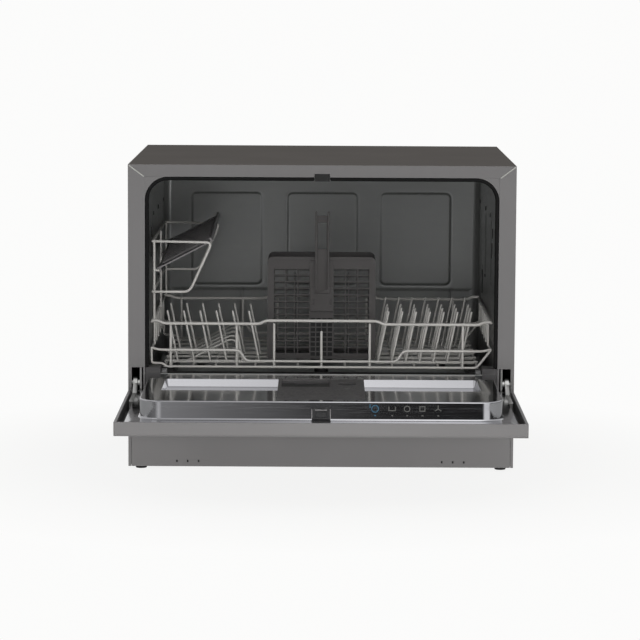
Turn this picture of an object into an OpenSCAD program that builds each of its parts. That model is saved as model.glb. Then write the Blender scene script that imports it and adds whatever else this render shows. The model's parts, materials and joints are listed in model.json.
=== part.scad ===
// Countertop dishwasher with its door let down, the rack pushed home. Millimetres, +Z up,
// the door opens towards -Y. The origin is under the middle of the space it takes when open.

/* [Cabinet] */
// Width of the cabinet and of the door
cabinet_w = 550; // [530:1:600]
// Depth of the cabinet behind its front plane
cabinet_d = 480; // [450:1:540]
// Height of the top face above the floor
cabinet_h = 438; // [425:1:470]
// Height of the feet under the base
foot_h = 6; // [4:0.5:10]
// Radius of a foot
foot_r = 8; // [6:0.5:14]
// Thickness of the painted panels
sheet_t = 1.2; // [0.8:0.1:2]
// Width of the front flange beside the mouth
flange_side = 24; // [20:0.5:30]
// Height of the front flange over the mouth
flange_top = 17.5; // [12:0.5:24]
// Height of the shoulder where the plinth meets the side flanges
shoulder_z = 101; // [90:1:104]
// Width of the side panel's edge beside the plinth
plinth_edge = 4; // [2:0.5:8]
// Gap between neighbouring panels
panel_gap = 0.3; // [0.2:0.05:0.6]

/* [Tub] */
// Radius of the mouth's upper corners
mouth_r = 33; // [20:1:45]
// Depth of the tub from the front plane to its back wall
tub_d = 420; // [380:1:440]
// Height of the tub floor
tub_floor = 112; // [108:1:116]
// Narrowing of the tub at each side towards the back
tub_draft = 3.5; // [0:0.5:6]
// Thickness of the tub's steel
tub_t = 1; // [0.6:0.1:1.5]
// Height of the embossed pads on the back wall
emboss_h = 1.2; // [0.6:0.1:2]
// Thickness of the door gasket, seen from the front
gasket_t = 5.2; // [4:0.1:7]
// Depth of the gasket behind the front plane
gasket_d = 13; // [9:0.5:13.5]

/* [Door] */
// Thickness of the door in front of the cabinet
door_t = 20; // [18:0.5:26]
// Distance of the hinge pin behind the front plane
hinge_y = 8.75; // [8:0.25:10]
// Height of the hinge pin
hinge_z = 125.25; // [124:0.25:126]
// Clearance between the open door's edge and the plinth
plinth_clear = 1; // [0.6:0.1:2]
// Gap between the closed door and the cabinet
door_gap = 0.8; // [0.5:0.1:1.5]
// Thickness of the door's skirt
skirt_t = 4; // [3:0.5:5]
// Rounding of the door's outer edges
edge_r = 4; // [2:0.5:6]
// Thickness of the door's steel
door_sheet = 1.5; // [1:0.1:2]
// Depth that the liner reaches into the tub
liner_in = 24.5; // [20:0.5:25]
// Gap between the liner and the gasket
liner_gap = 2.4; // [1.5:0.1:4]
// Radius of the liner's upper corners
liner_r = 31; // [20:1:40]
// Depth of the recess pressed into the liner
recess_h = 11; // [6:0.5:14]
// Radius of the hinge pin
hinge_pin_r = 3; // [2.5:0.25:4]

/* [Rack] */
// Distance from the liner of the closed door to the rack's front wires
rack_front_gap = 3.7; // [3:0.1:6]
// Depth of the rack
rack_d = 335; // [300:1:350]
// Gap between the rack and the gasket on each side
rack_gap = 2; // [1.5:0.1:5]
// Radius of the rack's rim wire
rim_r = 2.1; // [1.8:0.1:2.4]
// Radius of the rack's other wires
wire_r = 1.8; // [1.5:0.1:2]
// Radius of the tines
tine_r = 1.5; // [1.2:0.1:1.8]
// Height of the rack's rim over its base
rim_h = 66; // [50:1:80]
// Height of the middle rail over the base
rail_h = 24; // [18:1:34]
// Height of the tines over the base
tine_h = 75; // [50:1:85]
// How far the tines lean
tine_lean = 15.5; // [8:0.5:20]

/* [Shelf and basket] */
// Height of the shelf's pivot over the rack's base
shelf_pivot_h = 138; // [120:1:150]
// Width of the cup shelf
shelf_w = 88; // [60:1:92]
// Tilt of the cup shelf at rest
shelf_tilt = 27.6; // [15:0.5:35]
// Rise of the cup shelf towards the back
shelf_rise = 2.4; // [0:0.2:3]
// Width of the cutlery basket
basket_w = 157; // [130:1:157]
// Depth of the cutlery basket
basket_d = 77; // [60:1:80]
// Height of the cutlery basket
basket_h = 149; // [120:1:160]
// Wall thickness of the basket
basket_t = 2.4; // [1.6:0.1:3]
// Height of the handle above the basket's rim
handle_rise = 66; // [40:1:75]

/* [Spray arm and controls] */
// Length of the spray arm
arm_l = 372; // [300:2:380]
// Width of the spray arm
arm_w = 34; // [24:1:44]
// Height of the spray arm's underside over the tub floor
arm_lift = 12; // [9:0.5:13]
// Radius of a push button
button_r = 6; // [4:0.5:7]
// Travel of a push button
button_travel = 1.5; // [1:0.1:2]
// Distance between neighbouring push buttons
button_pitch = 25; // [18:1:30]

/* [Hidden] */
$fn = 48;

// Clearances shared by the fits
run_fit = 0.05;   // a shaft in its bore, on the radius
seat_gap = 0.3;   // a loose piece over its seat
over = 1;         // how far a cut runs past the face it goes through

half_w = cabinet_w / 2;
mouth_half = half_w - flange_side;
mouth_top = cabinet_h - flange_top;
panel_in = half_w - sheet_t;                 // inner faces of the side panels
back_in = cabinet_d - sheet_t;               // inner face of the rear panel
front_y = (hinge_y + hinge_z - cabinet_h) / -2 - cabinet_d / 2;  // front plane, from the origin

// The door, measured closed
door_bottom = hinge_z + hinge_y + plinth_clear;
door_top = cabinet_h;
door_out = -door_t;
liner_bottom = hinge_z + 18.15;              // clears the sill as the door swings
liner_half = mouth_half - gasket_t - liner_gap;
liner_top = mouth_top - gasket_t - liner_gap - 1;
flange_y = -door_gap - 0.4;                  // inner face of the liner's flange
skirt_in = half_w - skirt_t;
notch_x = liner_half - 23.9;                 // the liner's lower corners clear the rack's rollers
notch_top = liner_bottom + 45;
recess_bottom = notch_top + 6;
recess_top = recess_bottom + 116;
recess_half = notch_x;

// The sill and what runs over it
sill_z = hinge_z + 14.65;
seal_top = sill_z + 1.5;
collar_d = 16;                               // depth of the channel that holds the gasket
tub_half = mouth_half - gasket_t + 2.7;
tub_top = mouth_top - 1;

// The rack
rack_y = liner_in + rack_front_gap;
rack_half = mouth_half - gasket_t - rack_gap;
rack_back = rack_y + rack_d;
leg_z = seal_top + 0.8;                      // lowest point of the rack
base_z = leg_z + wire_r + 2.3;               // middle of the base wires
rim_z = base_z + rim_h;
rail_z = base_z + rail_h;
lip_z = rim_z - 3.9;                         // the rim between its raised parts
runner_x = rack_half - 19.3;                 // wires that run on the rollers
runner_bottom = base_z - wire_r;
roller_r = 6.5;
roller_w = 7.6;
roller_y = collar_d + 8;
roller_z = runner_bottom - seat_gap - roller_r;
axle_r = 1.5;
rear_tub_half = tub_half - tub_draft;

// The washing system
sump_y = 150;
sump_r = 46;
hub_y = 215;
hub_r = 9;
filter_r = 24;
float_x = 34.5 - runner_x;
float_y = 60;
pump_z = 66;
float_r = 15;
float_travel = 6;

// The service ports in the rear panel
port_z = 58;
inlet_x = 170;
drain_x = 120;
cord_x = -170;
port_depth = 30;
thread_r = 13.2;
thread_l = 15;
spigot_r = 9.5;
spigot_l = 22;
gland_bore_r = 4;
gland_l = 12;

// The dispenser and the latch, in the closed door
dispenser_half = 60;
dispenser_low = recess_bottom - 0.4;
dispenser_high = liner_top - 15.9;
dispenser_face = liner_in + 0.2;
channel_low = dispenser_low + 2;
channel_high = dispenser_low + 78;
lid_l = 42;
lid_travel = 34;
lid_x0 = -54.5;
lid_x1 = 11.5;
cap_r = 13;
cap_x = 36;
cap_z = dispenser_low + 50;
catch_r = 4;
catch_z = dispenser_low + 96;
catch_travel = 1.5;
latch_half = 12;
latch_depth = 15;
bolt_half = 7;
bolt_travel = 6;
fascia_low = cabinet_h - 42;
fascia_high = cabinet_h - 6;
fascia_half = half_w - 13;
fascia_t = 2;
button_x = 120;
button_z = (fascia_low + fascia_high) / 2;
grip_half = 65;
grip_low = fascia_low - 32;
grip_high = fascia_low - 4;
arm_x = half_w - 13;                         // inner face of the hinge arms
arm_t = 6;

painted = [0.47, 0.46, 0.46];
steel = [0.62, 0.63, 0.64];
dark_plastic = [0.20, 0.20, 0.21];
rubber = [0.06, 0.06, 0.06];
wire_grey = [0.66, 0.65, 0.63];

// Puts a piece drawn from the front plane into the part's own frame
module at_front() translate([0, front_y, 0]) children();

// Lets a piece of the closed door down to its open place
module opened()
    at_front() translate([0, hinge_y, hinge_z]) rotate([90, 0, 0]) translate([0, -hinge_y, -hinge_z])
        children();

// Extrudes an outline drawn in X and Z from y0 back to y1
module along_y(y0, y1) translate([0, y1, 0]) rotate([90, 0, 0]) linear_extrude(y1 - y0) children();

// Extrudes an outline drawn in Y and Z from x0 to x1
module along_x(x0, x1) translate([x0, 0, 0]) rotate([90, 0, 90]) linear_extrude(x1 - x0) children();

// A box between two corners
module block(a, b) translate(a) cube(b - a);

// A rectangle with its lower and upper corners rounded
module rounded(half, low, high, r_low, r_high) {
    translate([-half, low + r_low]) square([2 * half, high - low - r_low - r_high]);
    translate([-half + r_high, low + r_low]) square([2 * (half - r_high), high - low - r_low]);
    if (r_low > 0)
        translate([-half + r_low, low]) square([2 * (half - r_low), high - low - r_high]);
    for (s = [-1, 1]) {
        translate([s * (half - r_high), high - r_high]) circle(r_high);
        if (r_low > 0) translate([s * (half - r_low), low + r_low]) circle(r_low);
    }
}

// A straight wire between two points
module wire(a, b, r) {
    d = b - a;
    translate(a) rotate([0, acos(d[2] / norm(d)), atan2(d[1], d[0])]) cylinder(h = norm(d), r = r, $fn = 24);
}

// A wire bent through several points, swollen a little at each bend
module bent(points, r) {
    for (i = [0 : len(points) - 2]) wire(points[i], points[i + 1], r * (1 + 0.02 * (i % 2)));
    if (len(points) > 2)
        for (i = [1 : len(points) - 2]) translate(points[i]) sphere(r * 1.08, $fn = 24);
}

// A cylinder along X
module x_rod(x0, x1, r) translate([x0, 0, 0]) rotate([0, 90, 0]) cylinder(h = x1 - x0, r = r);

// A cylinder along Y
module y_rod(y0, y1, r) translate([0, y0, 0]) rotate([-90, 0, 0]) cylinder(h = y1 - y0, r = r);

// ---- cabinet ----

module top_panel() color(painted) at_front() difference() {
    union() {
        block([-half_w, 0, cabinet_h - sheet_t], [half_w, cabinet_d, cabinet_h]);
        along_y(0, sheet_t)
            polygon([[-half_w, cabinet_h], [half_w, cabinet_h], [mouth_half, mouth_top], [-mouth_half, mouth_top]]);
    }
    block([-strike_half - panel_gap, -over, 0], [strike_half + panel_gap, sheet_t + over, strike_top]);
}

strike_half = 10.5;
strike_top = mouth_top + 4.9;
slot_low = hinge_z - 17.75;
slot_high = hinge_z + 23.25;
slot_in = 8.4;   // from the arm to the slot's inner edge

// One side panel with its front flange; side is -1 or 1
module side_panel(side) color(painted) at_front() difference() {
    union() {
        block([min(side * panel_in, side * half_w), 0, foot_h],
              [max(side * panel_in, side * half_w), cabinet_d, cabinet_h - sheet_t]);
        along_y(0, sheet_t) difference() {
            polygon([[side * half_w, foot_h], [side * half_w, cabinet_h], [side * mouth_half, mouth_top],
                     [side * mouth_half, shoulder_z], [side * (half_w - plinth_edge), shoulder_z],
                     [side * (half_w - plinth_edge), foot_h]]);
            translate([side > 0 ? arm_x - slot_in : -arm_x - arm_t - 2, slot_low])
                square([arm_t + slot_in + 2, slot_high - slot_low]);
        }
    }
    // the top panel and its flange lie over this corner
    translate([0, -over, 0]) block([-half_w - over, 0, cabinet_h - sheet_t], [half_w + over, cabinet_d + 2 * over, cabinet_h + over]);
    along_y(-over, sheet_t + over)
        polygon([[-half_w, cabinet_h], [half_w, cabinet_h], [mouth_half, mouth_top], [-mouth_half, mouth_top]]);
}

module side_panel_left() side_panel(-1);
module side_panel_right() side_panel(1);

port_half = 90;
port_low = foot_h + 22;
port_high = port_low + 62;

module rear_panel() color(painted) at_front() difference() {
    union() {
        block([-panel_in, back_in, foot_h], [panel_in, cabinet_d, cabinet_h - sheet_t]);
        // the pocket that keeps the ports inside the cabinet's depth
        block([drain_x - 40, cabinet_d - port_depth - sheet_t, port_low], [inlet_x + 40, cabinet_d, port_high]);
        translate([cord_x, 0, port_z]) y_rod(cabinet_d - gland_l - sheet_t, cabinet_d, 18);
    }
    block([drain_x - 40 + sheet_t, cabinet_d - port_depth, port_low + sheet_t],
          [inlet_x + 40 - sheet_t, cabinet_d + over, port_high - sheet_t]);
    translate([inlet_x, 0, port_z]) y_rod(cabinet_d - port_depth - 2 * over, cabinet_d, thread_r + 2);
    translate([drain_x, 0, port_z]) y_rod(cabinet_d - port_depth - 2 * over, cabinet_d, spigot_r + 2);
    translate([cord_x, 0, port_z]) y_rod(cabinet_d - gland_l, cabinet_d + over, 18 - sheet_t);
    translate([cord_x, 0, port_z]) y_rod(cabinet_d - gland_l - 2 * over, cabinet_d, gland_bore_r + 3);
    for (x = [for (i = [-2 : 2]) i * (half_w - 75) / 2])
        for (i = [0 : 5])
            block([x - 24, back_in - over, 150 + i * 9], [x + 24, cabinet_d + over, 153 + i * 9]);
}

module front_plinth() color(painted) at_front() {
    plinth_half = half_w - plinth_edge - panel_gap;
    block([-plinth_half, 0, foot_h], [plinth_half, sheet_t, shoulder_z - panel_gap]);
    block([-notch_x + panel_gap, 0, foot_h + over], [notch_x - panel_gap, sheet_t, door_bottom - 2]);
    // turned-back lips at the foot
    block([-plinth_half, 0, foot_h], [plinth_half, 14, foot_h + sheet_t]);
}

tray_t = 3;
tray_wall = 34;

module base_tray() color(dark_plastic) at_front() difference() {
    block([-panel_in + panel_gap, 16, foot_h], [panel_in - panel_gap, back_in - panel_gap, foot_h + tray_wall]);
    block([-panel_in + panel_gap + tray_t, 16 + tray_t, foot_h + tray_t],
          [panel_in - panel_gap - tray_t, back_in - panel_gap - tray_t, foot_h + tray_wall + over]);
    // room for the service pocket
    block([drain_x - 42, cabinet_d - port_depth - 6, port_low - 2], [inlet_x + 42, cabinet_d, cabinet_h]);
    translate([cord_x, 0, port_z]) y_rod(cabinet_d - gland_l - 6, cabinet_d, 20);
}

foot_x = half_w - 17;

module foot(x, y) color(rubber) at_front() translate([x, y, 0]) {
    cylinder(h = foot_h, r = foot_r);
    translate([0, 0, foot_h - 2]) cylinder(h = 2, r = foot_r - 1.5);
}

module feet() for (x = [-foot_x, foot_x]) for (y = [26, cabinet_d - 30]) foot(x, y);

// ---- tub ----

// Outline of the mouth, grown by a margin
module mouth(grow)
    rounded(mouth_half + grow, sill_z - grow, mouth_top + grow, 0, mouth_r + grow);

// Outline of the tub inside its walls
module tub_outline(grow)
    rounded(tub_half + grow, tub_floor - grow, tub_top + grow, 12 + grow, mouth_r - gasket_t + grow);

// Plan of the tub, narrowing to the back, as a tall prism
module tub_plan(grow)
    translate([0, 0, tub_floor - 10]) linear_extrude(tub_top - tub_floor + 20)
        polygon([[-tub_half - grow, 0], [tub_half + grow, 0], [tub_half + grow, collar_d],
                 [rear_tub_half + grow, tub_d + grow], [-rear_tub_half - grow, tub_d + grow],
                 [-tub_half - grow, collar_d]]);

pad_low = 225;
pad_high = 368;
pad_centres = [-148, 1, 146];
pad_half = 54.5;

module tub() color(steel) at_front() {
    // flange and channel round the mouth
    along_y(sheet_t + panel_gap, sheet_t + panel_gap + tub_t) difference() {
        translate([-mouth_half - 4, sill_z - 5]) square([2 * mouth_half + 8, mouth_top + 9 - sill_z + 5]);
        mouth(0);
        translate([-strike_half - panel_gap, sill_z]) square([2 * (strike_half + panel_gap), strike_top - sill_z]);
    }
    along_y(sheet_t + panel_gap, collar_d) difference() {
        mouth(tub_t);
        mouth(0);
        translate([-strike_half - panel_gap, mouth_top - 10]) square([2 * (strike_half + panel_gap), 20]);
    }
    along_y(collar_d - tub_t, collar_d) difference() {
        union() {
            mouth(tub_t);
            tub_outline(tub_t);
        }
        intersection() {
            tub_outline(0);
            translate([-half_w, sill_z]) square([cabinet_w, cabinet_h]);
        }
    }
    difference() {
        intersection() {
            along_y(collar_d - tub_t, tub_d + tub_t) tub_outline(tub_t);
            tub_plan(tub_t);
        }
        intersection() {
            along_y(collar_d - 2 * tub_t, tub_d) tub_outline(0);
            tub_plan(0);
        }
        translate([0, sump_y, tub_floor - 10]) cylinder(h = 20, r = sump_r + 2);
        translate([0, hub_y, tub_floor - 10]) cylinder(h = 20, r = hub_r + 2);
        translate([float_x, float_y, tub_floor - 10]) cylinder(h = 20, r = 5);
    }
    for (x = pad_centres)
        translate([x, 0, 0]) along_y(tub_d - emboss_h, tub_d + tub_t / 2) rounded(pad_half, pad_low, pad_high, 8, 8);
}

block_top = seal_top + 7;

module tub_gasket() color(rubber) at_front() along_y(0.5, 0.5 + gasket_d) difference() {
    mouth(-0.15);
    mouth(-gasket_t);
    translate([-half_w, 0]) square([cabinet_w, block_top + panel_gap]);
    translate([-strike_half - 2 * panel_gap, sill_z])
        square([2 * (strike_half + 2 * panel_gap), cabinet_h]);
}

module sill_seal() color(rubber) at_front()
    block([-notch_x, 3, sill_z], [notch_x, 14, seal_top]);

module latch_strike() color(dark_plastic) at_front() difference() {
    block([-strike_half, 0, mouth_top - gasket_t - 0.4], [strike_half, 14, strike_top - panel_gap]);
    block([-bolt_half - 2, 1.4, mouth_top - gasket_t - over], [bolt_half + 2, 12, mouth_top + 1]);
}

// The steel plate that holds one hinge pin, standing on the base
module hinge_bracket(side) color(steel) at_front() mirror([side > 0 ? 0 : 1, 0, 0]) {
    block([arm_x - 6, 19.5, foot_h + tray_t], [arm_x - 3.4, 70, hinge_z + 26]);
    block([arm_x - 6, collar_d / 4, foot_h + tray_wall + 1], [arm_x - 3.4, 20, hinge_z + 26]);
    block([arm_x - 12, 19.5, foot_h + tray_t], [arm_x - 3.4, 70, foot_h + tray_t + 2]);
    translate([0, hinge_y, hinge_z]) {
        x_rod(arm_x - 4, arm_x + arm_t + 2, hinge_pin_r);
        x_rod(arm_x - 3.5, arm_x - 0.3, hinge_pin_r + 3);
        x_rod(arm_x + arm_t + 0.3, arm_x + arm_t + 2, hinge_pin_r + 2);
    }
}

module hinge_brackets() for (side = [-1, 1]) hinge_bracket(side);

// The plastic rail along the tub's side, with the roller's bracket at the mouth
module rack_rail(side) color(dark_plastic) at_front() mirror([side > 0 ? 0 : 1, 0, 0]) {
    block_in = runner_x + roller_w / 2 + 1;
    block_out = mouth_half - 0.7;
    block([block_in, 0.4, sill_z], [block_out, collar_d - tub_t - 0.2, block_top]);
    block([block_in, collar_d / 2, sill_z], [tub_half - 1, roller_y + 12, block_top]);
    block([block_in, collar_d + 0.2, tub_floor + 12], [tub_half - 1, roller_y + 12, block_top]);
    block([block_in, collar_d + 0.2, tub_floor], [tub_half - 12.5, roller_y + 12, block_top]);
    block([block_in, 0.2, sill_z - 17], [block_out, sheet_t + 0.2, sill_z + 1]);
    // the run behind the roller and its foot on the floor
    block([runner_x - 3, roller_y + roller_r + 2, tub_floor], [runner_x + 3, rack_back + 20, runner_bottom - seat_gap]);
    block([runner_x - 8, roller_y + roller_r + 2, tub_floor], [block_in + 1, rack_back + 20, tub_floor + 2]);
    block([runner_x, roller_y + roller_r + 2, tub_floor], [block_in + 1, roller_y + 12, runner_bottom - seat_gap]);
    translate([0, roller_y, roller_z]) {
        x_rod(runner_x - roller_w / 2 - 1.6, block_in + 2, axle_r);
        x_rod(runner_x - roller_w / 2 - 1.6, runner_x - roller_w / 2 - 0.3, axle_r + 1.2);
    }
}

module rack_rails() for (side = [-1, 1]) rack_rail(side);

module rack_roller(side) color(wire_grey) at_front() translate([side * runner_x, roller_y, roller_z]) difference() {
    x_rod(-roller_w / 2, roller_w / 2, roller_r);
    x_rod(-roller_w, roller_w, axle_r + run_fit);
}

module rack_roller_left() rack_roller(-1);
module rack_roller_right() rack_roller(1);

// ---- washing system ----

module sump() color(dark_plastic) at_front() translate([0, sump_y, 0]) difference() {
    union() {
        translate([0, 0, tub_floor - tub_t - 4]) cylinder(h = 4, r = sump_r + 6);
        translate([0, 0, pump_z - 22]) cylinder(h = tub_floor - tub_t - pump_z + 22, r = sump_r);
    }
    translate([0, 0, pump_z - 19]) cylinder(h = 100, r = sump_r - 3);
    translate([0, 0, pump_z]) x_rod(0, 80, 12);
    translate([0, 0, pump_z]) x_rod(-80, 0, 10);
}

module filter_plate() color(steel) at_front() translate([0, sump_y, tub_floor]) difference() {
    union() {
        cylinder(h = 1.5, r = sump_r + 6);
        translate([0, 0, -12]) cylinder(h = 12, r = filter_r + 4);
    }
    translate([0, 0, -20]) cylinder(h = 30, r = filter_r + run_fit);
    for (a = [0 : 30 : 330])
        rotate(a) translate([sump_r - 10, 0, -over]) cylinder(h = 4, r = 4);
}

module fine_filter() color(dark_plastic) at_front() translate([0, sump_y, tub_floor]) difference() {
    union() {
        translate([0, 0, -40]) cylinder(h = 42, r = filter_r);
        translate([0, 0, 1.8]) cylinder(h = 1.6, r = filter_r + 2.5);
        block([-filter_r + 2, -2.5, 2], [filter_r - 2, 2.5, 8.5]);
    }
    translate([0, 0, -over - 40]) cylinder(h = 38 + over, r = filter_r - 2);
}

module spray_hub() color(dark_plastic) at_front() translate([0, hub_y, 0]) {
    translate([0, 0, tub_floor - tub_t - 14]) cylinder(h = 14, r = hub_r + 3);
    translate([0, 0, tub_floor - 2]) cylinder(h = 2 + arm_lift - seat_gap, r = hub_r + 1.5);
    translate([0, 0, tub_floor]) cylinder(h = arm_lift + 10, r = hub_r - 3);
}

module spray_arm() color(steel) at_front() translate([0, hub_y, tub_floor + arm_lift]) difference() {
    union() {
        block([-arm_l / 2 + arm_w / 2, -arm_w / 2, 0], [arm_l / 2 - arm_w / 2, arm_w / 2, 9]);
        for (s = [-1, 1]) translate([s * (arm_l - arm_w) / 2, 0, 0]) cylinder(h = 9, r = arm_w / 2);
        cylinder(h = 12.5, r = hub_r + 8);
    }
    translate([0, 0, -over]) cylinder(h = 11 + over, r = hub_r - 3 + run_fit);
    block([-arm_l / 2 + 20, -arm_w / 2 + 2, 2], [-hub_r - 10, arm_w / 2 - 2, 7]);
    block([hub_r + 10, -arm_w / 2 + 2, 2], [arm_l / 2 - 20, arm_w / 2 - 2, 7]);
    for (x = [40 : 30 : arm_l / 2 - 20]) for (s = [-1, 1])
        translate([s * x, s * 6, 5]) cylinder(h = 6, r = 1.6);
}

impeller_r = 26;
impeller_x = sump_r + 14;
pump_r = 32;
motor_r = 36;
motor_l = 96;

module circulation_pump() color(dark_plastic) at_front() translate([0, sump_y, pump_z]) difference() {
    union() {
        x_rod(sump_r - 2.6, sump_r + 5, 11.8);
        x_rod(sump_r + 4, sump_r + 26, pump_r);
        x_rod(sump_r + 25, sump_r + 26 + motor_l, motor_r);
        // cradle on the base
        block([sump_r + 40, -24, foot_h + tray_t - pump_z], [sump_r + 110, 24, -motor_r + 4]);
    }
    x_rod(sump_r + 7, sump_r + 23, pump_r - 3);
    x_rod(sump_r - over - 3, sump_r + 8, 9);
}

module circulation_impeller() color(steel) at_front() translate([0, sump_y, pump_z]) {
    x_rod(impeller_x - 5, impeller_x - 3, impeller_r);
    difference() {
        x_rod(impeller_x - 4, impeller_x + 8.6, 5);
        x_rod(impeller_x, impeller_x + 10, 2);
    }
    for (a = [0 : 60 : 300]) rotate([a, 0, 0]) block([impeller_x - 4, 4, -1], [impeller_x + 4, impeller_r - 1, 1]);
}

module drain_pump() color(dark_plastic) at_front() translate([0, sump_y, pump_z]) {
    x_rod(-sump_r - 5, -sump_r + 2.6, 9.8);
    x_rod(-sump_r - 26, -sump_r - 4, 22);
    x_rod(-sump_r - 80, -sump_r - 25, 26);
    block([-sump_r - 74, -16, foot_h + tray_t - pump_z], [-sump_r - 34, 16, -22]);
}

module heater() color(steel) at_front() translate([0, hub_y + 80, foot_h + tray_t + 30]) {
    x_rod(-70, 70, 20);
    for (s = [-1, 1]) {
        translate([s * 45, 0, 0]) block([-6, -14, -30], [6, 14, -14]);
        translate([s * 40, 0, 14]) cylinder(h = 20, r = 7);
    }
}

module inlet_valve() color(dark_plastic) at_front() translate([inlet_x, 0, port_z]) {
    y_rod(cabinet_d - port_depth - 3, cabinet_d - port_depth + thread_l, thread_r);
    y_rod(cabinet_d - port_depth - sheet_t - 6, cabinet_d - port_depth - sheet_t, thread_r + 6);
    block([-13, cabinet_d - port_depth - 44, -16], [13, cabinet_d - port_depth - 7, 16]);
    translate([0, 0, 15]) block([-9, cabinet_d - port_depth - 40, 0], [9, cabinet_d - port_depth - 14, 24]);
}

module drain_port() color(dark_plastic) at_front() translate([drain_x, 0, port_z]) difference() {
    union() {
        y_rod(cabinet_d - port_depth - 3, cabinet_d - port_depth + spigot_l, spigot_r);
        y_rod(cabinet_d - port_depth - sheet_t - 5, cabinet_d - port_depth - sheet_t, spigot_r + 6);
        y_rod(cabinet_d - port_depth - 30, cabinet_d - port_depth - 4, spigot_r + 1.5);
    }
    y_rod(cabinet_d - port_depth - 40, cabinet_d, spigot_r - 2.5);
}

module control_board() color([0.1, 0.3, 0.2]) at_front() translate([-180, 70, foot_h + tray_t]) {
    for (x = [-50, 50]) for (y = [-35, 35]) translate([x, y, 0]) cylinder(h = 11, r = 3);
    block([-60, -45, 10], [60, 45, 11.6]);
    block([-40, -30, 11], [-5, 10, 34]);
    block([10, -20, 11], [30, 20, 28]);
    for (i = [0 : 3]) block([-40 + 22 * i, 26, 11], [-24 + 22 * i, 38, 23]);
}

module float_cup() color(wire_grey) at_front() translate([float_x, float_y, tub_floor]) {
    translate([0, 0, seat_gap]) cylinder(h = 15, r = float_r);
    translate([0, 0, -20]) cylinder(h = 22, r = 4);
}

module cord_gland() color(rubber) at_front() translate([cord_x, 0, port_z]) difference() {
    union() {
        y_rod(cabinet_d - gland_l - sheet_t - 3, cabinet_d - gland_l + over, gland_bore_r + 2.8);
        y_rod(cabinet_d - gland_l, cabinet_d - 4, gland_bore_r + 5);
        y_rod(cabinet_d - gland_l - sheet_t - 4, cabinet_d - gland_l - sheet_t, gland_bore_r + 5);
    }
    y_rod(cabinet_d - gland_l - sheet_t - 6, cabinet_d, gland_bore_r);
}

// ---- door, drawn closed and let down by opened() ----

// The door's outer block with rounded edges
module door_block(inset, y0, y1, r) intersection() {
    along_y(y0, y1) rounded(half_w - inset, door_bottom + inset, door_top - inset, max(2 - inset, 0.5), max(2 - inset, 0.5));
    along_x(-half_w, half_w) {
        translate([y0 + r, door_bottom + inset]) square([y1 - y0 - r, door_top - door_bottom - 2 * inset]);
        translate([y0, door_bottom + inset + r]) square([r + over, door_top - door_bottom - 2 * inset - 2 * r]);
        for (z = [door_bottom + inset + r, door_top - inset - r]) translate([y0 + r, z]) circle(r);
    }
}

module door_panel() color(painted) opened() difference() {
    door_block(0, door_out, -door_gap, edge_r);
    door_block(skirt_t, door_out + door_sheet, over, 1);
    // places for the control strip and the grip
    block([-fascia_half, door_out - over, fascia_low], [fascia_half, door_out + 4, fascia_high]);
    block([-grip_half, door_out - over, grip_low], [grip_half, door_out + 4, grip_high]);
    // room for the hinge arms
    for (s = [-1, 1])
        translate([s * (arm_x + arm_t / 2), 0, 0])
            block([-arm_t / 2 - 1.5, -14, door_bottom - over], [arm_t / 2 + 1.5, over, door_bottom + skirt_t + over]);
}

flange_half = arm_x - 1;

module liner_shape(grow)
    rounded(liner_half + grow, liner_bottom - grow, liner_top + grow, 6, liner_r + grow);

module door_liner() color(steel) opened() difference() {
    union() {
        // flange inside the skirt
        along_y(flange_y - 1, flange_y) translate([-flange_half, door_bottom + skirt_t + panel_gap])
            square([2 * flange_half, door_top - door_bottom - 2 * skirt_t - 2 * panel_gap]);
        along_y(flange_y - 1, liner_in) liner_shape(0);
    }
    difference() {
        along_y(flange_y - 2, liner_in - 1) liner_shape(-1);
        block([-recess_half - 1, liner_in - recess_h - 1, recess_bottom - 1],
              [recess_half + 1, liner_in, recess_top + 1]);
        for (s = [-1, 1])
            block([s > 0 ? notch_x - 1 : -half_w, flange_y - 3, liner_bottom - 1],
                  [s > 0 ? half_w : -notch_x + 1, liner_in, notch_top + 1]);
    }
    // the pressed recess
    along_y(liner_in - recess_h, liner_in + over)
        translate([0, 0]) rounded(recess_half, recess_bottom, recess_top, 12, 12);
    // the corners cut back for the rack's rollers, down to the flange
    for (s = [-1, 1])
        block([s > 0 ? notch_x : -liner_half - over, flange_y, liner_bottom - over],
              [s > 0 ? liner_half + over : -notch_x, liner_in + over, notch_top]);
    // places for the dispenser and the latch
    block([-dispenser_half, flange_y - 4, dispenser_low], [dispenser_half, liner_in + over, dispenser_high]);
    block([-latch_half - 0.3, -0.5, liner_top - 3], [latch_half + 0.3, latch_depth + 0.3, liner_top + over]);
}

module control_fascia() color(dark_plastic) opened() difference() {
    block([-fascia_half + panel_gap, door_out, fascia_low + panel_gap],
          [fascia_half - panel_gap, door_out + fascia_t, fascia_high - panel_gap]);
    for (i = [0 : 3]) translate([button_x + i * button_pitch, 0, button_z])
        y_rod(door_out - over, door_out + fascia_t + over, button_r + run_fit);
    block([-32, door_out - over, button_z - 9], [32, door_out + 0.9, button_z + 9]);
}

module display_window() color([0.05, 0.06, 0.07]) opened()
    block([-31.8, door_out, button_z - 8.8], [31.8, door_out + 0.8, button_z + 8.8]);

symbol_x = [71.9, 94.6, 114.5, 134.9, 155.8];
symbol_y = 15.2;
print_h = 0.15;

// A printed mark on the liner's top wall, drawn in X and Y
module printed() translate([0, 0, liner_top]) linear_extrude(print_h) children();

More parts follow.
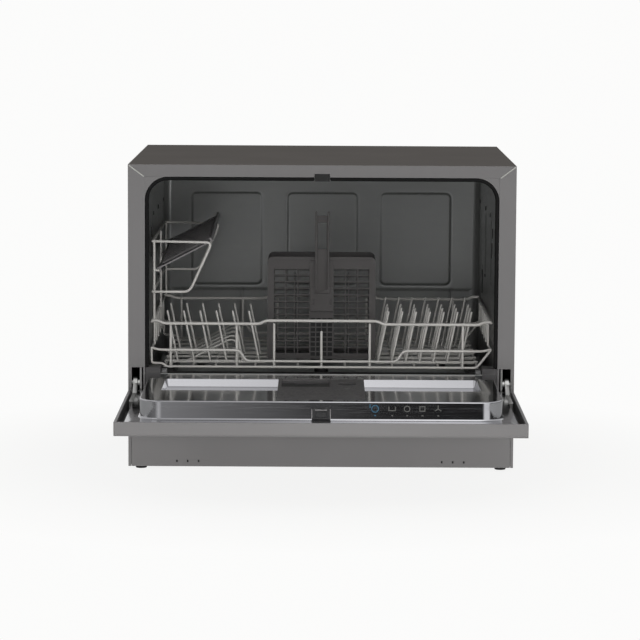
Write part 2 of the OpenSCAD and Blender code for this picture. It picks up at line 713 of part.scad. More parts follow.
module program_symbols() color([0.75, 0.8, 0.85]) opened() printed() {
    // pot, plate, glass, cup and spray marks
    translate([symbol_x[0], symbol_y]) difference() { circle(5.2); circle(3.8); }
    translate([symbol_x[0] - 7.4, symbol_y + 1]) square([1.4, 5]);
    translate([symbol_x[1] - 5, symbol_y - 3]) difference() { square([10, 6]); translate([1.3, 1.3]) square([7.4, 5]); }
    translate([symbol_x[2], symbol_y]) difference() { circle(4.4); circle(3.1); }
    translate([symbol_x[3] - 4, symbol_y - 3.6]) difference() { square([8, 7.2]); translate([1.2, 1.2]) square([5.6, 4.8]); }
    translate([symbol_x[4], symbol_y]) for (a = [0, 120, 240]) rotate(a) translate([-0.7, 0]) square([1.4, 5]);
    for (x = symbol_x) translate([x - 1, 5.5]) square([2.4, 1.4]);
}

module handle_cup() color(dark_plastic) opened() difference() {
    block([-grip_half + panel_gap, door_out, grip_low + panel_gap], [grip_half - panel_gap, door_out + 16, grip_high - panel_gap]);
    block([-grip_half + 3, door_out - over, grip_low + 3], [grip_half - 3, door_out + 14, grip_high - 3]);
}

module door_board() color([0.1, 0.3, 0.2]) opened() {
    board_x0 = 5 - grip_half;
    board_x1 = button_x + 3 * button_pitch + 16;
    block([board_x0, door_out + 6.5, fascia_low + 4], [board_x1, door_out + 8, fascia_high - 4]);
    for (x = [board_x0 + 8, button_x - 60, board_x1 - 5])
        translate([x, 0, button_z]) y_rod(door_out + fascia_t, door_out + 7, 2.5);
    for (i = [0 : 3])
        translate([button_x + i * button_pitch, 0, button_z])
            block([-3, door_out + 5.6, -3], [3, door_out + 7, 3]);
}

module latch_case() color(dark_plastic) opened() difference() {
    block([-latch_half, 0, liner_top - 15.6], [latch_half, latch_depth, liner_top - 0.2]);
    block([-bolt_half - 0.1, 2.9, liner_top - 14], [bolt_half + 0.1, 10.1, liner_top + over]);
}

module latch_bolt() color(steel) opened() {
    block([-bolt_half, 3, liner_top - 13.7], [bolt_half, 10, liner_top - 0.4]);
}

lid_face = dispenser_face - 1;

module dispenser_body() color(dark_plastic) opened() difference() {
    union() {
        block([-dispenser_half + panel_gap, liner_in - recess_h - 3, dispenser_low + panel_gap],
              [dispenser_half - panel_gap, dispenser_face, dispenser_high - panel_gap]);
        // the wells behind
        block([lid_x0 + 1, -9, channel_high - lid_l], [lid_x1 - 1, liner_in - 6, channel_high - 1]);
        translate([cap_x, 0, cap_z]) y_rod(-9, liner_in - 6, cap_r + 4);
    }
    // the channel that the lid slides in
    block([lid_x0 - 0.2, dispenser_face - 3, channel_low], [lid_x1 + 0.2, dispenser_face + over, channel_high]);
    // the detergent well
    block([lid_x0 + 4, -6, channel_high - lid_l + 3], [lid_x1 - 4, dispenser_face, channel_high - 4]);
    // the rinse aid neck
    translate([cap_x, 0, cap_z]) y_rod(dispenser_face - 6, dispenser_face + over, cap_r + run_fit);
    translate([cap_x, 0, cap_z]) y_rod(-6, dispenser_face, cap_r - 3);
    translate([cap_x, 0, catch_z]) y_rod(dispenser_face - 8, dispenser_face + over, catch_r + run_fit);
}

module detergent_lid() color([0.15, 0.15, 0.16]) opened() {
    block([lid_x0, dispenser_face - 2.8, channel_high - lid_l + 0.5], [lid_x1, lid_face, channel_high - 0.5]);
    block([lid_x0 + 18, lid_face - over, channel_high - lid_l + 6], [lid_x1 - 18, dispenser_face, channel_high - lid_l + 8]);
}

module lid_catch() color(wire_grey) opened() translate([cap_x, 0, catch_z])
    y_rod(dispenser_face - 5, dispenser_face + 0.2, catch_r);

module rinse_aid_cap() color([0.15, 0.15, 0.16]) opened() translate([cap_x, 0, cap_z]) {
    y_rod(dispenser_face - 5.7, dispenser_face - 1, cap_r);
    block([-cap_r + 2, dispenser_face - 2, -1.5], [cap_r - 2, dispenser_face, 1.5]);
}

// The steel arm that carries the door on one hinge pin
module hinge_arm(side) color(steel) opened() mirror([side > 0 ? 0 : 1, 0, 0])
    along_x(arm_x, arm_x + arm_t) difference() {
        union() {
            translate([door_out + door_sheet, door_bottom + skirt_t + 2]) square([door_t - door_sheet - 3, 86]);
            translate([hinge_y, hinge_z]) circle(9);
            translate([hinge_y, hinge_z]) rotate(39.2) translate([-6.5, 0]) square([13, 34]);
        }
        translate([hinge_y, hinge_z]) circle(hinge_pin_r + run_fit);
    }

module hinge_arm_left() hinge_arm(-1);
module hinge_arm_right() hinge_arm(1);

module button(i) color(wire_grey) opened() translate([button_x + (i - 1) * button_pitch, 0, button_z]) {
    y_rod(door_out - 1.8, door_out + fascia_t + 1.9, button_r);
    y_rod(door_out + fascia_t + 0.3, door_out + fascia_t + 1.9, button_r + 1.5);
}

module button_1() button(1);
module button_2() button(2);
module button_3() button(3);
module button_4() button(4);

// ---- rack ----

raised_half = 80;                            // half of the rim's raised middle
dip_half = 108;                              // half of the middle rail's lowered part
dip_z = base_z + 8.3;
corner_in = 11;                              // from the rack's side to the bend beside it
slant = 21;                                  // the base rail's slanted right end

upright_x = [-216, -121.4, -67.7, 69.3, 202.6];
base_x = [-184, -152, -95, -34, 34, 102, 134, 168];
cross_y = [for (i = [1 : 6]) rack_y + i * rack_d / 7];
cross_z = base_z + 2.2;                      // middle of the wires across the base
upright_in = 2.6;                            // from an end frame to its uprights, inwards

// Front or rear frame of the rack, in the plane at y
module rack_end(y) {
    bent([[-rack_half, y, rim_z], [-rack_half + corner_in, y, rim_z], [-rack_half + corner_in + 7, y, lip_z],
          [-raised_half - 8, y, lip_z], [-raised_half, y, rim_z + 0.8], [raised_half, y, rim_z + 0.8],
          [raised_half + 8, y, lip_z], [rack_half - corner_in - 7, y, lip_z], [rack_half - corner_in, y, rim_z],
          [rack_half, y, rim_z]], rim_r);
    bent([[-rack_half, y, rail_z], [-dip_half - 9, y, rail_z], [-dip_half, y, dip_z], [dip_half, y, dip_z],
          [dip_half + 9, y, rail_z], [rack_half, y, rail_z]], wire_r);
    bent([[-rack_half + 18, y, base_z + 4.7], [-rack_half + 20, y, base_z], [rack_half - slant, y, base_z],
          [rack_half - 1.2, y, rail_z - 1]], wire_r * 0.97);
}

module rack_ends() color(wire_grey) at_front() for (y = [rack_y, rack_back]) rack_end(y);

module rack_sides() color(wire_grey) at_front() for (s = [-1, 1]) {
    wire([s * (rack_half - 1), rack_y - 1.2, rim_z - 1.4], [s * (rack_half - 1), rack_back + 1.2, rim_z - 1.4],
         rim_r * 0.93);
    wire([s * (rack_half - 1), rack_y - 1.2, rail_z + 2], [s * (rack_half - 1), rack_back + 1.2, rail_z + 2],
         wire_r * 0.93);
    for (y = cross_y)
        wire([s * (rack_half - 2.2), y, rim_z - 0.5], [s * (rack_half - 2.2), y, rail_z + 1], wire_r * 0.85);
    // the left side's lower corners
    if (s < 0) for (y = [rack_y, rack_back])
        bent([[-rack_half + 0.5, y, rail_z + 4.4], [-rack_half + 0.5, y, base_z + 4.7],
              [-rack_half + 18, y, base_z + 4.7]], wire_r * 0.97);
}

module rack_base() color(wire_grey) at_front() {
    for (x = upright_x)
        wire([x, rack_y + 14, base_z - 0.15], [x, rack_back - 14, base_z - 0.15], wire_r * 0.96);
    for (s = [-1, 1])
        wire([s * runner_x, rack_y + 2, base_z], [s * runner_x, rack_back - 2, base_z], wire_r * 0.98);
    for (x = base_x) wire([x, rack_y + 2, base_z - 0.15], [x, rack_back - 2, base_z - 0.15], wire_r * 0.9);
    for (y = cross_y) wire([-runner_x - 3, y, cross_z], [runner_x + 3, y, cross_z], wire_r * 0.92);
}

// The end frames' uprights, whose bent feet the rack stands on when it is out of the machine
module rack_uprights() color(wire_grey) at_front() {
    for (x = upright_x) for (end = [[rack_y, 1], [rack_back, -1]])
        bent([[x, end[0] + end[1] * upright_in, lip_z + 1.2], [x, end[0] + end[1] * upright_in, leg_z + wire_r],
              [x, end[0] + end[1] * 14, base_z - 0.15], [x, end[0] + end[1] * 15, base_z - 0.15]], wire_r * 0.96);
    wire([0, rack_y + upright_in, rail_z + 28], [0, rack_y + upright_in, base_z], wire_r * 0.96);
}

left_tines = 6;
left_pitch = 23.6;
left_rows = [1, 3];
right_tines = 7;
right_pitch = 20;
right_rows = [1, 2, 3, 5];

module rack_tines() color(wire_grey) at_front() {
    for (row = left_rows) {
        y = cross_y[row - 1] - 2.6;
        foot_z = base_z + 1;
        for (i = [0 : left_tines - 1]) {
            x = -rack_half + 36.2 + i * left_pitch;
            wire([x, y, foot_z], [x - tine_lean, y, foot_z + tine_h], tine_r);
        }
        wire([-rack_half + 24, y, foot_z], [-rack_half + 46 + left_pitch * (left_tines - 1), y, foot_z], tine_r * 1.1);
    }
    for (row = right_rows) {
        y = cross_y[row - 1] - 2.6;
        foot_z = base_z + 1;
        for (i = [0 : right_tines - 1]) {
            x = rack_half - 162 + i * right_pitch;
            wire([x, y, foot_z], [x + tine_lean, y, foot_z + tine_h], tine_r);
        }
        wire([rack_half - 166, y, foot_z], [rack_half - 22, y, foot_z], tine_r * 1.1);
    }
}

shelf_pivot_x = -rack_half + 10.5;
shelf_pivot_z = base_z + shelf_pivot_h;
shelf_top_z = base_z + 180;
shelf_low_z = base_z + 107.5;
post_x = -rack_half + 4.3;

// Pivot wire and everything on it share this slight rise to the back
module on_pivot()
    translate([shelf_pivot_x, rack_y + 3, shelf_pivot_z]) rotate([shelf_rise, 0, 0]) children();

module cup_shelf_frame() color(wire_grey) at_front() {
    for (y = [rack_y + 2, rack_back - 6]) {
        bent([[-rack_half + 0.5, y, shelf_top_z], [-rack_half + 87, y, shelf_top_z - 1.5],
              [-rack_half + 55, y, shelf_low_z], [-rack_half + 0.5, y, shelf_low_z]], wire_r);
        wire([post_x, y + 1.4, rim_z - 1.5], [post_x, y + 1.4, shelf_top_z], wire_r * 0.95);
        wire([-rack_half + 0.6, y + 1.4, rim_z + 1], [post_x + 0.2, y + 1.4, rim_z + 1], wire_r * 0.9);
    }
    wire([post_x, hub_y - 10, rim_z - 1.5], [post_x, hub_y - 10, shelf_top_z], wire_r * 0.95);
    wire([-rack_half + 0.6, hub_y - 10, rim_z + 1], [post_x + 0.2, hub_y - 10, rim_z + 1], wire_r * 0.9);
    for (z = [shelf_top_z, shelf_low_z])
        wire([-rack_half + 2.2, rack_y + 0.6, z - 0.4], [-rack_half + 2.2, rack_back - 4.6, z - 0.4], wire_r * 0.98);
    on_pivot() y_rod(-1.6, rack_d - 8, wire_r * 0.9);
    for (y = [rack_y + 2, rack_back - 6])
        translate([0, y + 1.4, shelf_pivot_z + tan(shelf_rise) * (y - rack_y)])
            x_rod(post_x - 0.4, shelf_pivot_x + 0.6, wire_r * 0.85);
}

module cup_shelf() color(dark_plastic) at_front() on_pivot() rotate([0, -shelf_tilt, 0]) difference() {
    union() {
        block([2, 6, 1], [shelf_w, rack_d - 22, 3]);
        block([shelf_w - 3, 6, 1], [shelf_w, rack_d - 22, 7]);
        for (y = [6, (rack_d - 22) / 2, rack_d - 22 - 26])
            translate([0, y, 0]) {
                y_rod(0, 26, 3.9);
                block([0, 0, 1], [8, 26, 3.6]);
            }
        for (y = [30 : 22 : rack_d - 50]) block([6, y, 2.5], [shelf_w - 2, y + 1.6, 5]);
    }
    y_rod(0, rack_d, wire_r * 0.9 + run_fit);
    for (y = [34 : 22 : rack_d - 60]) for (x = [12 : 24 : shelf_w - 22])
        block([x, y, 0], [x + 18, y + 14, 3.4]);
}

basket_y = rack_y + 61;
basket_z = cross_z + wire_r * 0.92 + seat_gap;
mesh_cols = 3;
mesh_pitch_x = 17.6;
mesh_pitch_z = 9.6;
frame_x = 10.5;
post_half = 17;

// One meshed side of the basket, drawn in X and Z
module mesh_wall() difference() {
    rounded(basket_w / 2, basket_z, basket_z + basket_h, 3, 8);
    for (s = [-1, 1])
        for (c = [0 : mesh_cols - 1]) for (r = [0 : floor((basket_h - 22) / mesh_pitch_z) - 1])
            translate([s > 0 ? post_half + c * mesh_pitch_x + 0.8 : -post_half - (c + 1) * mesh_pitch_x + 0.8,
                       basket_z + 8 + r * mesh_pitch_z])
                square([mesh_pitch_x - 1.6, mesh_pitch_z - 1.6]);
}

basket_back = basket_y + basket_d;

// The rolled rim along one meshed side
module basket_rim(y) block([-basket_w / 2 + 8, y, basket_z + basket_h - 5],
                           [basket_w / 2 - 8, y + basket_t + 1.2, basket_z + basket_h]);

module basket_front_wall() color(dark_plastic) at_front() {
    along_y(basket_y, basket_y + basket_t) mesh_wall();
    basket_rim(basket_y - 1.2);
    // boss that the handle clips on
    block([-post_half, basket_y - 2, basket_z + 70], [post_half, basket_y + 0.5, basket_z + basket_h - 6]);
}

module basket_rear_wall() color(dark_plastic) at_front() {
    along_y(basket_back - basket_t, basket_back) mesh_wall();
    basket_rim(basket_back - basket_t);
}

// The floor with the two narrow ends
module basket_ends() color(dark_plastic) at_front() difference() {
    along_y(basket_y + basket_t, basket_back - basket_t) rounded(basket_w / 2, basket_z, basket_z + basket_h, 3, 8);
    block([-basket_w / 2 + basket_t, basket_y, basket_z + basket_t],
          [basket_w / 2 - basket_t, basket_back, basket_z + basket_h + over]);
}

module basket_dividers() color(dark_plastic) at_front()
    for (x = [-basket_w / 4, 0, basket_w / 4])
        block([x - 0.8, basket_y + basket_t, basket_z + basket_t],
              [x + 0.8, basket_back - basket_t, basket_z + basket_h - 30]);

handle_y = basket_y - 2;

module basket_handle() color(dark_plastic) at_front() difference() {
    union() {
        block([-9.6, handle_y - 2.4, basket_z + 96], [11, handle_y, basket_z + basket_h + handle_rise - 6]);
        for (x = [-9.6, 8.4])
            block([x, handle_y - 7, basket_z + 102], [x + 2.6, handle_y, basket_z + basket_h + handle_rise]);
        block([-post_half + 1, handle_y - 1.6, basket_z + 70], [post_half, handle_y, basket_z + 104]);
    }
    for (x = [-13.5, 11.5])
        block([x, handle_y - 3, basket_z + 79], [x + 3, handle_y + over, basket_z + 87]);
    // finger slot under the top
    block([-5.5, handle_y - 4, basket_z + basket_h + 12], [6.9, handle_y + over, basket_z + basket_h + handle_rise - 16]);
}

top_panel();
side_panel_left();
side_panel_right();
rear_panel();
front_plinth();
base_tray();
feet();
tub();
tub_gasket();
sill_seal();
latch_strike();
hinge_brackets();
rack_rails();
rack_roller_left();
rack_roller_right();
sump();
filter_plate();
fine_filter();
spray_hub();
spray_arm();
circulation_pump();
circulation_impeller();
drain_pump();
heater();
inlet_valve();
drain_port();
control_board();
float_cup();
cord_gland();
door_panel();
door_liner();
control_fascia();
display_window();
program_symbols();
handle_cup();
door_board();
latch_case();
latch_bolt();
dispenser_body();
detergent_lid();
lid_catch();
rinse_aid_cap();
hinge_arm_left();
hinge_arm_right();
button_1();
button_2();
button_3();
button_4();
rack_ends();
rack_sides();
rack_base();
rack_uprights();
rack_tines();
cup_shelf_frame();
cup_shelf();
basket_front_wall();
basket_rear_wall();
basket_ends();
basket_dividers();
basket_handle();
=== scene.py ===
"""A countertop dishwasher with its door let down, which shows its steel tub, wire rack, cup shelf and
cutlery basket."""

import json
import math

import bmesh
import bpy
import numpy as np
from mathutils import Euler, Matrix, Vector
from mathutils.geometry import delaunay_2d_cdt


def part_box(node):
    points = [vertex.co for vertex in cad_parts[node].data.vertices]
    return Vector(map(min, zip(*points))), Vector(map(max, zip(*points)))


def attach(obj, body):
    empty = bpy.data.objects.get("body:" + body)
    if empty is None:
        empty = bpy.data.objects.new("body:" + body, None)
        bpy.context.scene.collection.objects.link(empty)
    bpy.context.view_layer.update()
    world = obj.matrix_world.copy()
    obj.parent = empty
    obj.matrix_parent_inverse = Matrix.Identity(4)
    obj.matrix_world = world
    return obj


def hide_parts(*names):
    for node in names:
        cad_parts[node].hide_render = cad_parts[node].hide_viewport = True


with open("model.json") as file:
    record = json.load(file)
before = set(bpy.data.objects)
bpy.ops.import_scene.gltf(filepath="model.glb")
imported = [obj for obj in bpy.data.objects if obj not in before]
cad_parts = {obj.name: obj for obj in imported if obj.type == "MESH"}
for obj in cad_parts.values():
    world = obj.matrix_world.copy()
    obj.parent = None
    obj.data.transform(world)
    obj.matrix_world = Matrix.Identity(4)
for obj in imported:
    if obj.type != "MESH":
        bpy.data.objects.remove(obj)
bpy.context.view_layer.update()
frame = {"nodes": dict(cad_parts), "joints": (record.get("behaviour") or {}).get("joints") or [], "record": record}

# ---- camera ----
# A long lens four metres off, square to the front and a little above the machine, looking slightly down.


def stood(name, data):
    """A new object of that data, linked into the scene."""
    made = bpy.data.objects.new(name, data)
    bpy.context.scene.collection.objects.link(made)
    return made


camera_place = (-0.0021, -4.238, 0.7045)
camera_tilt = math.radians(6.69)
camera_roll = math.radians(0.31)
camera_data = bpy.data.cameras.new("camera")
camera_data.lens = 165.3
camera_data.clip_end = 40
camera = stood("camera", camera_data)
camera.matrix_world = (
    Matrix.Translation(camera_place)
    @ Euler((math.pi / 2 - camera_tilt, 0, 0)).to_matrix().to_4x4()
    @ Matrix.Rotation(camera_roll, 4, "Z")
)
bpy.context.scene.camera = camera
bpy.context.scene.view_settings.view_transform = "Standard"

# ---- floor and light ----
# A pale sheet under and behind the machine, lit by three softboxes and an even room. The steel shows
# the studio's cards: a grey one and a narrow white one on the left, a black one behind the lens, a
# white one on the right.


def grid_mesh(points, around=False):
    """Vertices and quads of a grid of points; with around, the last row joins the first again."""
    rows, columns = points.shape[:2]
    corner = np.arange(rows * columns).reshape(rows, columns)
    if around:
        corner = np.vstack([corner, corner[:1]])
    quads = np.stack([corner[:-1, :-1], corner[1:, :-1], corner[1:, 1:], corner[:-1, 1:]], -1)
    return points.reshape(-1, 3), quads.reshape(-1, 4)


def mesh_object(name, parts, finish, smooth_to=35):
    """One mesh of several (vertices, faces) parts, with doubles merged and edges over smooth_to
    degrees sharp."""
    vertices, faces, start = [], [], 0
    for points, polygons in parts:
        vertices.append(np.asarray(points, float))
        faces.extend((np.asarray(polygons) + start).tolist())
        start += len(points)
    mesh = bpy.data.meshes.new(name)
    mesh.from_pydata(np.vstack(vertices).tolist(), [], faces)
    mesh.validate()
    work = bmesh.new()
    work.from_mesh(mesh)
    bmesh.ops.remove_doubles(work, verts=work.verts, dist=2e-6)
    bmesh.ops.dissolve_degenerate(work, edges=work.edges, dist=1e-6)
    work.to_mesh(mesh)
    work.free()
    mesh.shade_smooth()
    mesh.set_sharp_from_angle(angle=math.radians(smooth_to))
    mesh.materials.append(finish)
    return stood(name, mesh)


def new_node(tree, kind, operation=None, **values):
    """A shader node of a kind with its operation, and values for its inputs; From_Min is From Min."""
    node = tree.nodes.new("ShaderNode" + kind)
    if operation:
        node.operation = operation
    for socket, value in values.items():
        node.inputs[socket.replace("_", " ")].default_value = value
    return node


def mixed(tree, share, first, second):
    """Two shaders mixed by the share of the second."""
    mix = new_node(tree, "MixShader")
    for plug, source in zip(mix.inputs, (share, first, second)):
        tree.links.new(source, plug)
    return mix.outputs[0]


studio_white = (0.97, 0.97, 0.965, 1)


def studio_floor_finish():
    """Pale paper: matte to the lamps, and for the eye and for matte surfaces mostly its own even white."""
    paper = bpy.data.materials.new("studio_paper")
    paper.use_nodes = True
    tree = paper.node_tree
    tree.nodes.clear()
    link = tree.links.new
    matte = new_node(tree, "BsdfDiffuse", Color=(0.8, 0.8, 0.79, 1))
    even = new_node(tree, "Emission", Color=studio_white)
    # near the machine a tenth is left to the matte paper, which takes its soft shadow
    where = new_node(tree, "TexCoord")
    reach = new_node(tree, "VectorMath", "LENGTH")
    link(where.outputs["Object"], reach.inputs[0])
    fade = new_node(tree, "MapRange", From_Min=0.34, From_Max=0.7, To_Min=0.9, To_Max=1.0)
    link(reach.outputs["Value"], fade.inputs["Value"])
    rays = new_node(tree, "LightPath")
    soft = new_node(tree, "Math", "ADD")
    link(rays.outputs["Is Camera Ray"], soft.inputs[0])
    link(rays.outputs["Is Diffuse Ray"], soft.inputs[1])
    share = new_node(tree, "Math", "MULTIPLY")
    link(soft.outputs[0], share.inputs[0])
    link(fade.outputs[0], share.inputs[1])
    out = new_node(tree, "OutputMaterial")
    link(mixed(tree, share.outputs[0], matte.outputs[0], even.outputs[0]), out.inputs["Surface"])
    return paper


floor_front, floor_back, floor_side = -0.98, 2.6, 2.4
along = np.array([floor_front, -0.5, 0, 0.5, 1, 1.5, 2, floor_back])
across = np.linspace(-floor_side, floor_side, 9)
lay_y, lay_x = np.meshgrid(along, across, indexing="ij")
floor_grid = np.stack([lay_x, lay_y, lay_x * 0], -1)[:, ::-1]
floor = mesh_object("studio_floor", [grid_mesh(floor_grid)], studio_floor_finish())

# (place, level) of the cards and of the ring above them, by compass: 0 behind the machine, 0.5 straight
# in front of it, below 0.5 on its left
card_ring = [(0.0, 0.8), (0.26, 0.8), (0.285, 0.1), (0.31, 0.22), (0.4, 0.3), (0.45, 0.9), (0.472, 0.56),
             (0.486, 0.3), (0.5, 0.1), (0.508, 0.03), (0.545, 0.02), (0.565, 1.2), (0.63, 1.2),
             (0.65, 0.05), (1.0, 0.05)]
sky_ring = [(0.0, 0.8), (0.3, 0.8), (0.38, 0.6), (0.465, 0.6), (0.492, 1.0), (0.51, 1.9), (0.53, 1.9),
            (0.62, 1.2), (0.7, 0.8), (1.0, 0.8)]


def studio_world():
    """An even room for matte surfaces, white for the eye, and cards by compass direction for gloss."""
    world = bpy.data.worlds.new("studio")
    bpy.context.scene.world = world
    world.use_nodes = True
    tree = world.node_tree
    tree.nodes.clear()
    link = tree.links.new
    room = new_node(tree, "Background", Color=(0.98, 0.99, 1.0, 1), Strength=0.52)
    white = new_node(tree, "Background", Color=studio_white)
    cards = new_node(tree, "Background")
    above = new_node(tree, "Background")
    where = new_node(tree, "TexCoord")
    parts = new_node(tree, "SeparateXYZ")
    link(where.outputs["Generated"], parts.inputs[0])
    flip = new_node(tree, "Math", "MULTIPLY")
    flip.inputs[1].default_value = -1
    link(parts.outputs["Y"], flip.inputs[0])
    turn = new_node(tree, "Math", "ARCTAN2")
    link(parts.outputs["X"], turn.inputs[0])
    link(flip.outputs[0], turn.inputs[1])
    compass = new_node(tree, "MapRange", From_Min=-math.pi, From_Max=math.pi)
    link(turn.outputs[0], compass.inputs["Value"])
    for stops, shown in ((card_ring, cards), (sky_ring, above)):
        ring = new_node(tree, "ValToRGB")
        elements = ring.color_ramp.elements
        while len(elements) < len(stops):
            elements.new(0.5)
        # moving a stop can put the stops in another order, so their colours wait for all places
        for element, (place, level) in zip(elements, stops):
            element.position = place
        for element, (place, level) in zip(elements, stops):
            element.color = (level, level, level * 1.01, 1)
        link(compass.outputs[0], ring.inputs[0])
        link(ring.outputs["Color"], shown.inputs["Color"])
    # over the horizon a brighter ring takes over from the cards
    rise = new_node(tree, "MapRange", From_Min=0.1, From_Max=0.27)
    link(parts.outputs["Z"], rise.inputs["Value"])
    gloss = mixed(tree, rise.outputs[0], cards.outputs[0], above.outputs[0])
    rays = new_node(tree, "LightPath")
    lit = mixed(tree, rays.outputs["Is Glossy Ray"], room.outputs[0], gloss)
    out = new_node(tree, "OutputWorld")
    link(mixed(tree, rays.outputs["Is Camera Ray"], lit, white.outputs[0]), out.inputs["Surface"])


studio_world()


def softbox(name, place, aim, size, power):
    """A square area lamp at place, turned towards aim."""
    lamp = bpy.data.lights.new(name, "AREA")
    lamp.size = size
    lamp.energy = power
    made = stood(name, lamp)
    made.location = place
    made.rotation_euler = (Vector(aim) - Vector(place)).to_track_quat("-Z", "Y").to_euler()
    return made


softbox("softbox_left", (-2.3, -2.6, 1.9), (0, 0, 0.2), 1.6, 5)
softbox("softbox_right", (2.2, -2.3, 1.1), (0, 0, 0.2), 1.4, 15).visible_glossy = False
# a low fill lifts the plinth and the door's edge
softbox("softbox_low", (0, -2.2, 0.2), (0, 0, 0.08), 0.5, 23).visible_glossy = False

# ---- cabinet ----
# Folded steel sheet under satin grey paint: a top with its own front edge, two sides that turn in
# round the mouth, a rear panel with vents and ports, and a plinth under the door.

body_of = {node: body for body, nodes in frame["record"]["behaviour"]["bodies"].items() for node in nodes}


def linear(colour):
    """A colour of screen values from 0 to 1 as a shader's linear colour."""
    return (*((np.array(colour) + 0.055) / 1.055) ** 2.4, 1)


def new_finish(name, colour, roughness, metallic=0.0, shine=0.5):
    """A finish of one colour, given as screen values from 0 to 1, that the pattern functions then vary."""
    finish = bpy.data.materials.new(name)
    finish.use_nodes = True
    shader = finish.node_tree.nodes["Principled BSDF"]
    shader.inputs["Base Color"].default_value = linear(colour)
    shader.inputs["Roughness"].default_value = roughness
    shader.inputs["Metallic"].default_value = metallic
    shader.inputs["Specular IOR Level"].default_value = shine
    return finish


def speckle(finish, per_metre, detail=3.0, stretch=(1, 1, 1)):
    """A noise over the piece, per_metre times as fine as one metre and drawn out by stretch."""
    tree = finish.node_tree
    where = new_node(tree, "TexCoord")
    scaled = new_node(tree, "Mapping", Scale=stretch)
    noise = new_node(tree, "TexNoise", Scale=per_metre, Detail=detail)
    tree.links.new(where.outputs["Object"], scaled.inputs["Vector"])
    tree.links.new(scaled.outputs["Vector"], noise.inputs["Vector"])
    return noise.outputs["Fac"]


def vary(finish, socket, pattern, low, high):
    """Lets a pattern carry a shader's number, or its colour's brightness, from low to high."""
    tree = finish.node_tree
    shader = tree.nodes["Principled BSDF"]
    # nearly all of a noise's values lie between 0.3 and 0.7
    spread = new_node(tree, "MapRange", From_Min=0.3, From_Max=0.7, To_Min=low, To_Max=high)
    tree.links.new(pattern, spread.inputs["Value"])
    if socket != "Base Color":
        tree.links.new(spread.outputs[0], shader.inputs[socket])
        return
    tint = new_node(tree, "VectorMath", "SCALE", Vector=shader.inputs["Base Color"].default_value[:3])
    tree.links.new(spread.outputs[0], tint.inputs["Scale"])
    tree.links.new(tint.outputs[0], shader.inputs["Base Color"])


def roughen(finish, pattern, height):
    """Raises a pattern as a fine relief of that height in metres."""
    tree = finish.node_tree
    relief = new_node(tree, "Bump", Distance=height)
    tree.links.new(pattern, relief.inputs["Height"])
    tree.links.new(relief.outputs[0], tree.nodes["Principled BSDF"].inputs["Normal"])


def satin_paint(name, colour, shine=0.5, dullness=0.36):
    """Baked paint on sheet: a faint orange peel, and gloss that wanders a little."""
    paint = new_finish(name, colour, dullness, shine=shine)
    vary(paint, "Base Color", speckle(paint, 9, 2), 0.97, 1.03)
    vary(paint, "Roughness", speckle(paint, 60), dullness, dullness + 0.1)
    roughen(paint, speckle(paint, 900, 2), 0.00002)
    return paint


def second_tone(finish, measure, axis, limit, colour, shine=0.5):
    """Gives a finish another colour and shine where the Normal or Object coordinate's axis is under a
    limit."""
    tree = finish.node_tree
    shader = tree.nodes["Principled BSDF"]
    where = new_node(tree, "TexCoord")
    parts = new_node(tree, "SeparateXYZ")
    tree.links.new(where.outputs[measure], parts.inputs[0])
    over = new_node(tree, "Math", "GREATER_THAN")
    over.inputs[1].default_value = limit
    tree.links.new(parts.outputs[axis], over.inputs[0])
    for socket, value in (("Base Color", linear(colour)), ("Specular IOR Level", shine)):
        mix = new_node(tree, "Mix")
        mix.data_type, kind = ("RGBA", "Color") if socket == "Base Color" else ("FLOAT", "Float")
        # the node has sockets of one name for each kind of value, so they are told apart by identifier
        plugs = {plug.identifier: plug for plug in (*mix.inputs, *mix.outputs)}
        before = shader.inputs[socket]
        plugs["A_" + kind].default_value = value
        plugs["B_" + kind].default_value = before.default_value
        if before.links:
            tree.links.new(before.links[0].from_socket, plugs["B_" + kind])
        tree.links.new(over.outputs[0], plugs["Factor_Float"])
        tree.links.new(plugs["Result_" + kind], before)


def eased(node, edge, finish):
    """Stands a copy of a CAD node in its place, merged, with its sharp edges eased by a small round."""
    sharp_from = math.radians(30)
    work = bmesh.new()
    work.from_mesh(frame["nodes"][node].data)
    bmesh.ops.remove_doubles(work, verts=work.verts, dist=1e-6)
    bmesh.ops.dissolve_limit(work, angle_limit=math.radians(1), verts=work.verts, edges=work.edges)
    mesh = bpy.data.meshes.new(node + "_eased")
    work.to_mesh(mesh)
    work.free()
    mesh.shade_smooth()
    mesh.set_sharp_from_angle(angle=sharp_from)
    mesh.materials.append(finish)
    made = stood(node + "_eased", mesh)
    soften = made.modifiers.new("eased_edges", "BEVEL")
    soften.width = edge
    soften.segments = 2
    soften.limit_method = "ANGLE"
    soften.angle_limit = sharp_from
    soften.harden_normals = True
    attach(made, body_of[node])
    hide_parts(node)


def dress(node, finish):
    """Gives a CAD node whose shape stands as it is a finish."""
    mesh = frame["nodes"][node].data
    mesh.materials.clear()
    mesh.materials.append(finish)


body_grey = (0.42, 0.414, 0.413)
body_paint = satin_paint("body_paint", body_grey)
# painted shade: a copy of the body paint, warmer and without shine, makes the top render darker than the front,
# standing for a top that lies in less light
top_paint = satin_paint("top_paint", (0.44, 0.424, 0.41), 0.0, 0.8)
# the top's front edge is painted like the body; only the faces that look up take the painted shade
second_tone(top_paint, "Normal", "Z", 0.5, body_grey)
eased("top_panel", 0.0006, top_paint)
for side in ("left", "right"):
    eased("side_panel_" + side, 0.0006, body_paint)
eased("front_plinth", 0.0006, body_paint)
dress("rear_panel", body_paint)

front_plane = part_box("front_plinth")[0].y


def from_front(points):
    """Points in millimetres, from the foot of the cabinet's front plane, as places in the frame."""
    return np.asarray(points, float) * 0.001 + np.array([0, front_plane, 0])


